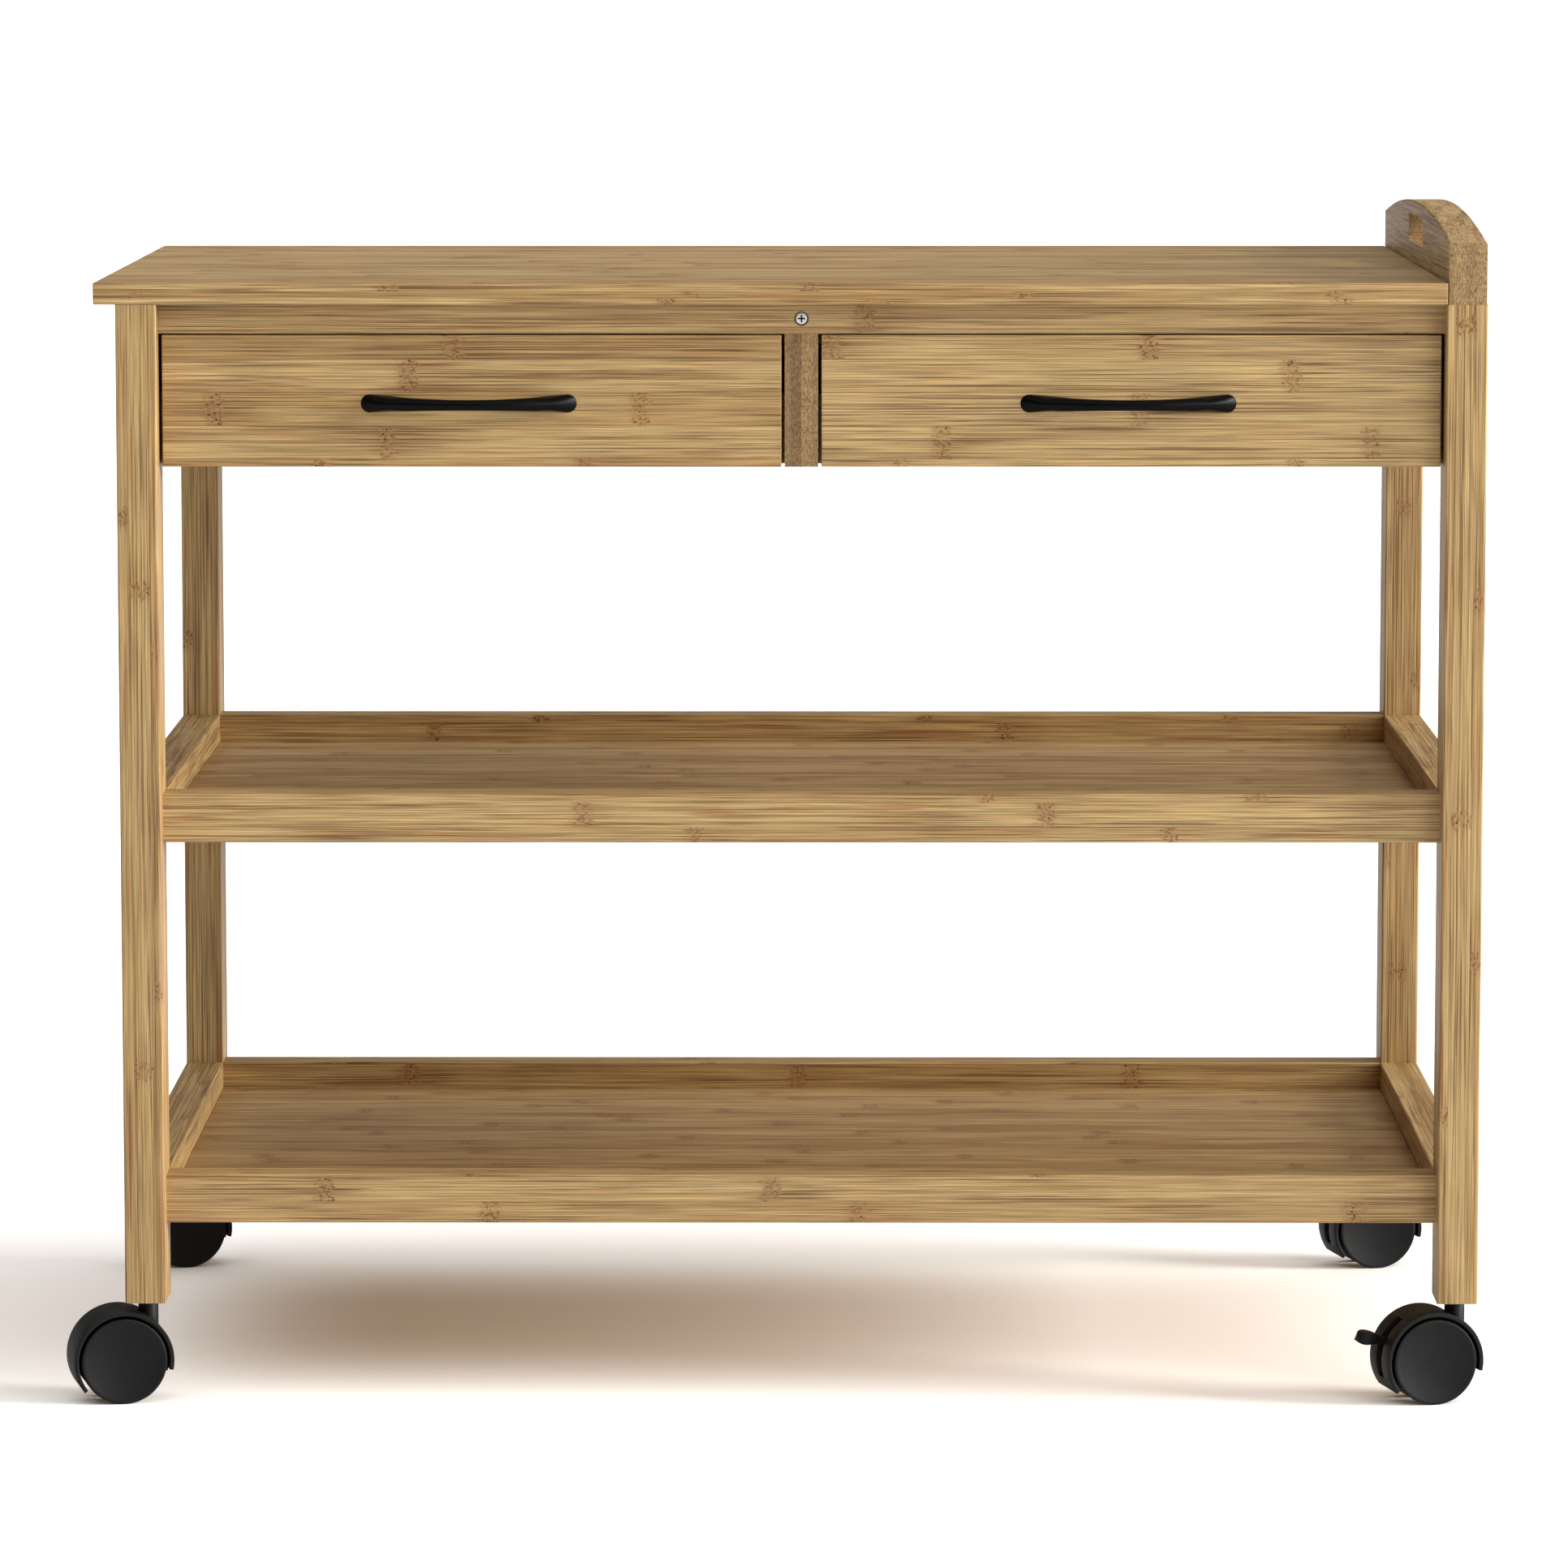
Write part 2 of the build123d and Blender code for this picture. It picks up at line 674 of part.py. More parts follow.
def caster_socket(side, end):
    middle = (side * leg_mid_x, end * leg_mid_y)
    sleeve = rod((*middle, leg_foot), (*middle, leg_foot + socket_length), stem_radius + socket_wall)
    return sleeve - rod((*middle, leg_foot), (*middle, leg_foot + stem_thread_length), stem_radius)


def write_frame():
    write(worktop(), "worktop")
    write(handle_board(), "handle_board")
    write(front_apron(), "front_apron")
    write(rear_apron(), "rear_apron")
    write(divider(), "drawer_divider")
    for side_name, side in sides.items():
        write(side_apron(side), f"{side_name}_apron")
        for end_name, end in ends.items():
            write(leg(side, end), f"{end_name}_{side_name}_leg")
    for shelf, base in shelf_bases.items():
        write(shelf_panel(base), f"{shelf}_shelf_panel")
        for end_name, end in ends.items():
            write(shelf_long_rail(base, end), f"{shelf}_shelf_{end_name}_rail")
        for side_name, side in sides.items():
            write(shelf_side_rail(base, side), f"{shelf}_shelf_{side_name}_rail")
    write(joined(runner_strip(side, face) for side in sides.values() for face in (-1, 1)), "drawer_runners")


def write_fixings():
    corners = [(side, end) for side in sides.values() for end in ends.values()]
    bolt_spots = [(side, *point) for side in sides.values() for point in rail_bolt_points()]
    write(joined(bolt(side, y, z) for side, y, z, way in bolt_spots), "frame_bolts")
    write(joined(barrel_nut(*spot) for spot in bolt_spots), "barrel_nuts")
    dowels = [dowel for side, end in corners for dowel in side_dowels(side, end) + [top_dowel(side, end)]]
    write(joined(dowels), "frame_dowels")
    screws = [divider_screw(end, z) for end in ends for z in divider_screw_points(end)]
    write(joined(screws), "divider_screws")
    write(joined(caster_stem(side, end) for side, end in corners), "caster_stems")
    write(joined(caster_socket(side, end) for side, end in corners), "caster_sockets")


def write_drawer(name, side):
    write(drawer_front(side), f"{name}_drawer_front")
    write(drawer_side(side, -1), f"{name}_drawer_left_side")
    write(drawer_side(side, 1), f"{name}_drawer_right_side")
    write(drawer_back(side), f"{name}_drawer_back")
    write(drawer_bottom(side), f"{name}_drawer_bottom")
    write(drawer_pull(side), f"{name}_drawer_pull")
    write(joined(pull_screws(side)), f"{name}_drawer_pull_screws")


def write_caster(name, side, end):
    """The two right-hand casters have brakes."""
    place = caster_place(side, end)
    braked = side > 0
    write(place * caster_hood(braked), f"{name}_caster_hood")
    write(place * caster_axle(), f"{name}_caster_axle")
    write(place * caster_wheel(-1), f"{name}_caster_front_wheel")
    write(place * caster_wheel(1), f"{name}_caster_rear_wheel")
    if braked:
        write(place * brake_lever(), f"{name}_caster_brake_lever")


os.makedirs("parts", exist_ok=True)
write_frame()
write_fixings()
for drawer_name, drawer_side_sign in sides.items():
    write_drawer(drawer_name, drawer_side_sign)
for caster_side_name, caster_side in sides.items():
    for caster_end_name, caster_end in ends.items():
        write_caster(f"{caster_end_name}_{caster_side_name}", caster_side, caster_end)
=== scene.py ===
from math import atan2, cos, degrees, radians, sin, sqrt

import bmesh
import bpy
from mathutils import Matrix, Vector


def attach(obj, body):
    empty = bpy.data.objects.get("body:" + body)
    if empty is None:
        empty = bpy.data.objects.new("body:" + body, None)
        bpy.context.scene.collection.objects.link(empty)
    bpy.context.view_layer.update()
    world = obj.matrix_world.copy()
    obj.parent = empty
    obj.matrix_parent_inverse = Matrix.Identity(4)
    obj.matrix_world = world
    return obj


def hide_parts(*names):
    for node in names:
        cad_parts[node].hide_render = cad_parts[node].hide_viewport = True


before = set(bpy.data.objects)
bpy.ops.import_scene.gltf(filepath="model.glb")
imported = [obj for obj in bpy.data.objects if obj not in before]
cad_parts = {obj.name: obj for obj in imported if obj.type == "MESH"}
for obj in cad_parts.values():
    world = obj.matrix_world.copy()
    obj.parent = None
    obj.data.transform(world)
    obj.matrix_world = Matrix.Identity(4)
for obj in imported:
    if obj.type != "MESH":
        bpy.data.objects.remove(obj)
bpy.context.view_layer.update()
mm = 0.001
print("frame loaded,", len(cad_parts), "parts")


# Camera: a long lens in front, a little above the worktop and looking slightly down.
cameraView = {
    "lens": 169.27,
    "sensor": 36.0,
    "place": (0.00327, -5.3299, 1.03348),
    "tilt": 83.237,
    "turn": 0.1725,
    "far": 400.0,
}


def setCamera():
    bpy.ops.object.select_all(action="DESELECT")
    angles = (radians(cameraView["tilt"]), 0, radians(cameraView["turn"]))
    bpy.ops.object.camera_add(location=cameraView["place"], rotation=angles)
    camera = bpy.context.object
    camera.name = "studioCamera"
    camera.data.lens = cameraView["lens"]
    camera.data.sensor_width = cameraView["sensor"]
    camera.data.clip_end = cameraView["far"]
    bpy.context.scene.camera = camera


# Light: a big soft lamp low on the right, one overhead, a near one in front on the right, a dim room.
studioLight = {
    "key": {"kind": "SUN", "place": (3.83, -0.61, 1.0), "strength": 4.6, "softness": 24,
            "colour": (1.0, 0.985, 0.96)},
    "overhead": {"kind": "SUN", "place": (0.4, -0.3, 4.0), "strength": 1.7, "softness": 120,
                 "colour": (1.0, 1.0, 1.0)},
    "front": {"kind": "AREA", "place": (2.1, -2.3, 1.35), "strength": 20.5, "size": 1.6,
              "colour": (1.0, 1.0, 1.0)},
    "target": (0.0, 0.0, 0.45),
    "room": 0.11,
    "backdrop": 1.0,
}


def addLamp(name):
    lamp = studioLight[name]
    aim = Vector(lamp["place"])
    if lamp["kind"] == "AREA":
        aim = aim - Vector(studioLight["target"])
    turn = aim.to_track_quat("Z", "Y").to_euler()
    bpy.ops.object.light_add(type=lamp["kind"], location=lamp["place"], rotation=turn)
    light = bpy.context.object
    light.name = name + "Lamp"
    light.data.energy = lamp["strength"]
    light.data.color = lamp["colour"]
    if lamp["kind"] == "SUN":
        light.data.angle = radians(lamp["softness"])
    else:
        light.data.size = lamp["size"]


# Most of a noise lies in this span of its values.
noiseSpan = (0.3, 0.7)


# Short ways to add a node, a sum and a ramp to a material or a group.
def addNode(tree, kind, feeds=None, **settings):
    node = tree.nodes.new(kind)
    for name, value in settings.items():
        setattr(node, name, value)
    for socket, value in (feeds or {}).items():
        if isinstance(value, bpy.types.NodeSocket):
            tree.links.new(value, node.inputs[socket])
        else:
            node.inputs[socket].default_value = value
    return node


def calc(tree, operation, *values):
    return addNode(tree, "ShaderNodeMath", dict(enumerate(values)), operation=operation).outputs[0]


def vectorCalc(tree, operation, first, second):
    return addNode(tree, "ShaderNodeVectorMath", {0: first, 1: second}, operation=operation).outputs[0]


def greyOf(tree, value):
    return addNode(tree, "ShaderNodeCombineXYZ", {0: value, 1: value, 2: value}).outputs[0]


def spread(tree, value, low, high, start=0.0, finish=1.0, curve="SMOOTHSTEP"):
    feeds = {"Value": value, "From Min": low, "From Max": high, "To Min": start, "To Max": finish}
    return addNode(tree, "ShaderNodeMapRange", feeds, interpolation_type=curve).outputs[0]


def blendColour(tree, share, first, second, way="MIX"):
    feeds = {0: share, 6: first, 7: second}
    return addNode(tree, "ShaderNodeMix", feeds, data_type="RGBA", blend_type=way).outputs[2]


def stretchedNoise(tree, spot, density, detail=2.0, roughness=0.5):
    scaled = vectorCalc(tree, "MULTIPLY", spot, density)
    feeds = {"Vector": scaled, "Scale": 1.0, "Detail": detail, "Roughness": roughness}
    return addNode(tree, "ShaderNodeTexNoise", feeds, noise_dimensions="3D").outputs[0]


def newGroup(name, given, made):
    tree = bpy.data.node_groups.new(name, "ShaderNodeTree")
    for label, kind, value in given:
        socket = tree.interface.new_socket(name=label, in_out="INPUT", socket_type=kind)
        if value is not None:
            socket.default_value = value
    for label, kind in made:
        tree.interface.new_socket(name=label, in_out="OUTPUT", socket_type=kind)
    return tree, tree.nodes.new("NodeGroupInput").outputs, tree.nodes.new("NodeGroupOutput").inputs


def setRoom():
    world = bpy.data.worlds.new("studioRoom")
    world.use_nodes = True
    tree = world.node_tree
    tree.nodes.clear()
    seen = addNode(tree, "ShaderNodeLightPath").outputs["Is Camera Ray"]
    strength = spread(tree, seen, 0.0, 1.0, studioLight["room"], studioLight["backdrop"], "LINEAR")
    glow = addNode(tree, "ShaderNodeBackground", {"Color": (1, 1, 1, 1), "Strength": strength})
    addNode(tree, "ShaderNodeOutputWorld", {"Surface": glow.outputs[0]})
    bpy.context.scene.world = world


# The floor looks brighter than it lights the cart, so that open floor is white and shadows are clear.
floorFinish = {
    "size": 600.0,
    "bounce": (0.86, 0.855, 0.85, 1),
    "seen": (1.58, 1.57, 1.56, 1),
    "speck": (1.32, 1.31, 1.30, 1),
    "lift": (0.05, 0.03, 0.015, 1),
    "toothDensity": (700, 700, 700),
    "roughness": (0.7, 0.8),
    "gloss": 0.2,
}


def setFloor():
    bpy.ops.mesh.primitive_plane_add(size=floorFinish["size"])
    floor = bpy.context.object
    floor.name = "studioFloor"
    paper = bpy.data.materials.new("palePaper")
    paper.use_nodes = True
    tree = paper.node_tree
    spot = addNode(tree, "ShaderNodeTexCoord").outputs["Object"]
    tooth = stretchedNoise(tree, spot, floorFinish["toothDensity"], 1.0)
    shader = tree.nodes["Principled BSDF"]
    seen = addNode(tree, "ShaderNodeLightPath").outputs["Is Camera Ray"]
    speckled = blendColour(tree, tooth, floorFinish["seen"], floorFinish["speck"])
    tree.links.new(blendColour(tree, seen, floorFinish["bounce"], speckled), shader.inputs["Base Color"])
    shader.inputs["Specular IOR Level"].default_value = floorFinish["gloss"]
    tree.links.new(spread(tree, tooth, *noiseSpan, *floorFinish["roughness"]), shader.inputs["Roughness"])
    shader.inputs["Emission Color"].default_value = floorFinish["lift"]
    tree.links.new(seen, shader.inputs["Emission Strength"])
    floor.data.materials.append(paper)


setCamera()
for lamp in ("key", "overhead", "front"):
    addLamp(lamp)
setRoom()
setFloor()
bpy.context.scene.view_settings.view_transform = "Standard"
print("camera, lamps and floor set")


# Bamboo: glued strips, each with its own tone, fibres along it and a knuckle now and then.
# Places are in metres: x along the grain, y across the strips, z through the layers.
bambooLook = {
    "straw": (0.56, 0.385, 0.165, 1),
    "tan": (0.425, 0.262, 0.098, 1),
    "russet": (0.365, 0.165, 0.058, 1),
    "fibre": (0.165, 0.078, 0.027, 1),
    "pore": (0.022, 0.012, 0.006, 1),
    "bandDensity": (3.0, 120.0, 120.0),
    "threadDensity": (5.0, 900.0, 900.0),
    "streakDensity": (9.0, 400.0, 400.0),
    "hairDensity": (15.0, 1400.0, 1400.0),
    "patchDensity": (11.0, 75.0, 75.0),
    "curlDensity": (250.0, 310.0, 310.0),
    "dashDensity": (360.0, 640.0, 640.0),
    "endDensity": (60.0, 300.0, 1250.0),
    "endPale": (0.370, 0.235, 0.098, 1),
    "endDark": (0.195, 0.110, 0.044, 1),
    # a strand is a strip's own shift through the noises
    "strandShift": (7.0, 3.0, 5.0),
    "knuckleShift": 9.0,
    # knuckles: half length, where its edge fades, ragged edge, how many are missing, how strong they are
    "knuckleHalf": 0.0066,
    "knuckleEdge": (0.55, 1.25),
    "raggedDensity": (90.0, 520.0, 520.0),
    "raggedDepth": 0.016,
    "knuckleMissing": 0.12,
    "knuckleStrength": (0.60, 1.0),
    "knuckleBrown": 0.40,
    "curlWidth": (0.014, 0.075),
    "curlStrength": 0.90,
    "dashEdge": (0.44, 0.54),
    "dashCore": (0.54, 0.62),
    "dotDensity": (190.0, 240.0, 240.0),
    "dotWidth": (0.12, 0.22),
    # the browner stretch that follows a knuckle
    "shadeStart": (-0.014, -0.002),
    "shadeLength": 0.050,
    "shadeWarmth": 0.38,
    "shadeThreads": 0.40,
    # how far clouds and bands pull a strip towards tan
    "cloudWarmth": 1.5,
    "bandWarmth": 1.7,
    # which share of each noise shows as a fibre or streak, and how strongly
    "streakEdge": (0.53, 0.66),
    "streakStrength": (0.25, 0.85),
    "threadEdge": (0.525, 0.570),
    "threadPatch": (0.40, 0.62),
    "threadStrength": (0.36, 0.42),
    "threadMost": 0.95,
    "threadInKnuckle": 0.35,
    "hairSpan": (0.32, 0.68),
    "hairTone": (0.62, 1.36),
    "endSpan": (0.34, 0.66),
    "endTone": (0.52, 1.46),
    "jointWidth": 0.00060,
    "jointStrength": 0.30,
    "roughness": (0.38, 0.52),
    "relief": (0.35, 0.00035),
    "gloss": 0.45,
}


def makeBambooGrain():
    look = bambooLook
    colour, value, vector = "NodeSocketColor", "NodeSocketFloat", "NodeSocketVector"
    given = [("Place", vector, None), ("Strip Width", value, 0.02), ("Layer Depth", value, 0.0049),
             ("Knuckle Gap", value, 0.27), ("Seed", value, 0.0), ("Tan Share", value, 0.4),
             ("Cut End", value, 0.0), ("Tone Spread", value, 0.75)]
    made = [("Colour", colour), ("Roughness", value), ("Height", value)]
    tree, inlet, outlet = newGroup("bambooGrain", given, made)
    along, across, through = addNode(tree, "ShaderNodeSeparateXYZ", {0: inlet["Place"]}).outputs
    row = calc(tree, "DIVIDE", across, inlet["Strip Width"])
    layer = calc(tree, "DIVIDE", through, inlet["Layer Depth"])
    rowFloor = calc(tree, "FLOOR", row)
    layerFloor = calc(tree, "FLOOR", layer)
    cell = addNode(tree, "ShaderNodeCombineXYZ", {0: rowFloor, 1: layerFloor, 2: inlet["Seed"]}).outputs[0]
    draw = addNode(tree, "ShaderNodeTexWhiteNoise", {"Vector": cell}, noise_dimensions="3D")
    draw = draw.outputs["Color"]
    toneDraw, shiftDraw, warmDraw = addNode(tree, "ShaderNodeSeparateXYZ", {0: draw}).outputs
    jump = vectorCalc(tree, "MULTIPLY", draw, look["strandShift"])
    strand = vectorCalc(tree, "ADD", inlet["Place"], jump)

    # the knuckle: where it stands on its strip, and the ragged band it makes
    gaps = calc(tree, "DIVIDE", along, inlet["Knuckle Gap"])
    turn = calc(tree, "ADD", gaps, calc(tree, "MULTIPLY", shiftDraw, look["knuckleShift"]))
    turnFloor = calc(tree, "FLOOR", turn)
    place = addNode(tree, "ShaderNodeCombineXYZ", {0: turnFloor, 1: rowFloor, 2: layerFloor}).outputs[0]
    chance = addNode(tree, "ShaderNodeTexWhiteNoise", {"Vector": place, "W": inlet["Seed"]},
                     noise_dimensions="4D").outputs["Color"]
    spotDraw, presentDraw, strengthDraw = addNode(tree, "ShaderNodeSeparateXYZ", {0: chance}).outputs
    centre = calc(tree, "MULTIPLY_ADD", spotDraw, 0.5, 0.25)
    away = calc(tree, "SUBTRACT", calc(tree, "FRACT", turn), centre)
    away = calc(tree, "MULTIPLY", away, inlet["Knuckle Gap"])
    ragged = calc(tree, "SUBTRACT", stretchedNoise(tree, strand, look["raggedDensity"], 2.0, 0.6), 0.5)
    away = calc(tree, "MULTIPLY_ADD", ragged, look["raggedDepth"], away)
    present = calc(tree, "GREATER_THAN", presentDraw, look["knuckleMissing"])
    strength = spread(tree, strengthDraw, 0.0, 1.0, *look["knuckleStrength"], "LINEAR")
    present = calc(tree, "MULTIPLY", present, strength)
    inner, outer = [look["knuckleHalf"] * share for share in look["knuckleEdge"]]
    band = spread(tree, calc(tree, "ABSOLUTE", away), inner, outer, 1.0, 0.0)
    band = calc(tree, "MULTIPLY", band, present)
    before = spread(tree, away, *look["shadeStart"])
    after = spread(tree, away, 0.0, look["shadeLength"], 1.0, 0.0, "SMOOTHERSTEP")
    shade = calc(tree, "MULTIPLY", calc(tree, "MINIMUM", before, after), present)

    # fibres: wide soft bands, thin brown threads, reddish streaks and hair-fine ones
    bands = stretchedNoise(tree, strand, look["bandDensity"], 2.0)
    threads = stretchedNoise(tree, strand, look["threadDensity"], 2.0, 0.6)
    streaks = stretchedNoise(tree, strand, look["streakDensity"], 2.0)
    hairs = stretchedNoise(tree, strand, look["hairDensity"], 2.0, 0.7)
    patches = stretchedNoise(tree, strand, look["patchDensity"], 1.0)

    # how warm the ground is: the strip's own tone, then clouds, bands and the stretch after a knuckle
    ownTone = calc(tree, "SUBTRACT", toneDraw, 0.5)
    warmth = calc(tree, "MULTIPLY_ADD", ownTone, inlet["Tone Spread"], inlet["Tan Share"])
    cloudShare = calc(tree, "MULTIPLY", inlet["Tone Spread"], look["cloudWarmth"])
    warmth = calc(tree, "MULTIPLY_ADD", calc(tree, "SUBTRACT", patches, 0.5), cloudShare, warmth)
    warmth = calc(tree, "MULTIPLY_ADD", calc(tree, "SUBTRACT", bands, 0.5), look["bandWarmth"], warmth)
    warmth = calc(tree, "MULTIPLY_ADD", shade, look["shadeWarmth"], warmth)
    tanShare = spread(tree, warmth, 0.0, 1.0, 0.0, 1.0, "LINEAR")
    ground = blendColour(tree, tanShare, look["straw"], look["tan"])
    blush = spread(tree, warmDraw, 0.0, 1.0, *look["streakStrength"])
    blush = calc(tree, "MULTIPLY", spread(tree, streaks, *look["streakEdge"]), blush)
    ground = blendColour(tree, blush, ground, look["russet"])
    least, more = look["threadStrength"]
    reach = calc(tree, "MULTIPLY_ADD", spread(tree, patches, *look["threadPatch"]), more, least)
    reach = calc(tree, "MULTIPLY_ADD", shade, look["shadeThreads"], reach)
    reach = calc(tree, "MINIMUM", reach, look["threadMost"])
    thread = calc(tree, "MULTIPLY", spread(tree, threads, *look["threadEdge"]), reach)
    clear = spread(tree, band, 0.0, 1.0, 1.0, look["threadInKnuckle"], "LINEAR")
    thread = calc(tree, "MULTIPLY", thread, clear)
    ground = blendColour(tree, thread, ground, look["fibre"])

    # a knuckle is a little browner, full of short curls and dark dots
    ground = blendColour(tree, calc(tree, "MULTIPLY", band, look["knuckleBrown"]), ground, look["russet"])
    curls = stretchedNoise(tree, strand, look["curlDensity"], 1.0)
    curl = calc(tree, "ABSOLUTE", calc(tree, "SUBTRACT", curls, 0.5))
    curl = spread(tree, curl, *look["curlWidth"], 1.0, 0.0)
    dashes = stretchedNoise(tree, strand, look["dashDensity"], 2.0, 0.6)
    curl = calc(tree, "MULTIPLY", curl, spread(tree, dashes, *look["dashEdge"]))
    curl = calc(tree, "MAXIMUM", curl, spread(tree, dashes, *look["dashCore"]))
    curl = calc(tree, "MULTIPLY", calc(tree, "MULTIPLY", curl, band), look["curlStrength"])
    ground = blendColour(tree, curl, ground, look["fibre"])
    dotPlace = vectorCalc(tree, "MULTIPLY", strand, look["dotDensity"])
    dots = addNode(tree, "ShaderNodeTexVoronoi", {"Vector": dotPlace, "Scale": 1.0}).outputs["Distance"]
    dotShare = calc(tree, "MULTIPLY", spread(tree, dots, *look["dotWidth"], 1.0, 0.0), band)
    ground = blendColour(tree, dotShare, ground, look["pore"])

    # a cut end: dull columns, one to each layer, speckled with the ends of the fibres
    layerSeed = calc(tree, "ADD", layerFloor, inlet["Seed"])
    endDraw = addNode(tree, "ShaderNodeTexWhiteNoise", {"W": layerSeed}, noise_dimensions="1D")
    endColour = blendColour(tree, endDraw.outputs["Value"], look["endPale"], look["endDark"])
    specks = stretchedNoise(tree, strand, look["endDensity"], 2.0, 0.75)
    endSheen = spread(tree, specks, *look["endSpan"], *look["endTone"], "LINEAR")
    endColour = blendColour(tree, 1.0, endColour, greyOf(tree, endSheen), "MULTIPLY")
    ground = blendColour(tree, inlet["Cut End"], ground, endColour)

    # hair-fine light and dark, then the thin dark glue lines between strips
    sheen = spread(tree, hairs, *look["hairSpan"], *look["hairTone"], "LINEAR")
    ground = blendColour(tree, 1.0, ground, greyOf(tree, sheen), "MULTIPLY")
    rowPlace = calc(tree, "FRACT", row)
    edge = calc(tree, "MINIMUM", rowPlace, calc(tree, "SUBTRACT", 1.0, rowPlace))
    edge = calc(tree, "MULTIPLY", edge, inlet["Strip Width"])
    joint = spread(tree, edge, 0.0, look["jointWidth"], look["jointStrength"], 0.0)
    ground = blendColour(tree, joint, ground, look["fibre"])

    tree.links.new(ground, outlet["Colour"])
    roughness = spread(tree, threads, *noiseSpan, *look["roughness"], "LINEAR")
    tree.links.new(roughness, outlet["Roughness"])
    height = calc(tree, "MULTIPLY_ADD", hairs, 0.5, calc(tree, "MULTIPLY", threads, -1.0))
    tree.links.new(height, outlet["Height"])
    return tree


bambooGrain = makeBambooGrain()


def newFinish(name):
    finish = bpy.data.materials.new(name)
    finish.use_nodes = True
    return finish, finish.node_tree, finish.node_tree.nodes["Principled BSDF"]


def bambooFinish(name, axes, strip, layer, seed, tan, gap=0.27, tones=0.75):
    finish, tree, shader = newFinish(name)
    coordinates = addNode(tree, "ShaderNodeTexCoord").outputs
    spot = addNode(tree, "ShaderNodeSeparateXYZ", {0: coordinates["Object"]}).outputs
    face = addNode(tree, "ShaderNodeSeparateXYZ", {0: coordinates["Normal"]}).outputs
    order = ["XYZ".index(axis) for axis in axes]
    turned = {place: spot[axis] for place, axis in enumerate(order)}
    turned = addNode(tree, "ShaderNodeCombineXYZ", turned).outputs[0]
    cutEnd = spread(tree, calc(tree, "ABSOLUTE", face[order[0]]), 0.80, 0.97)
    grain = tree.nodes.new("ShaderNodeGroup")
    grain.node_tree = bambooGrain
    values = {"Strip Width": strip, "Layer Depth": layer, "Seed": seed, "Tan Share": tan,
              "Knuckle Gap": gap, "Tone Spread": tones}
    for label, value in values.items():
        grain.inputs[label].default_value = value
    tree.links.new(turned, grain.inputs["Place"])
    tree.links.new(cutEnd, grain.inputs["Cut End"])
    tree.links.new(grain.outputs["Colour"], shader.inputs["Base Color"])
    tree.links.new(grain.outputs["Roughness"], shader.inputs["Roughness"])
    strength, distance = bambooLook["relief"]
    feeds = {"Strength": strength, "Distance": distance, "Height": grain.outputs["Height"]}
    tree.links.new(addNode(tree, "ShaderNodeBump", feeds).outputs[0], shader.inputs["Normal"])
    shader.inputs["Specular IOR Level"].default_value = bambooLook["gloss"]
    return finish


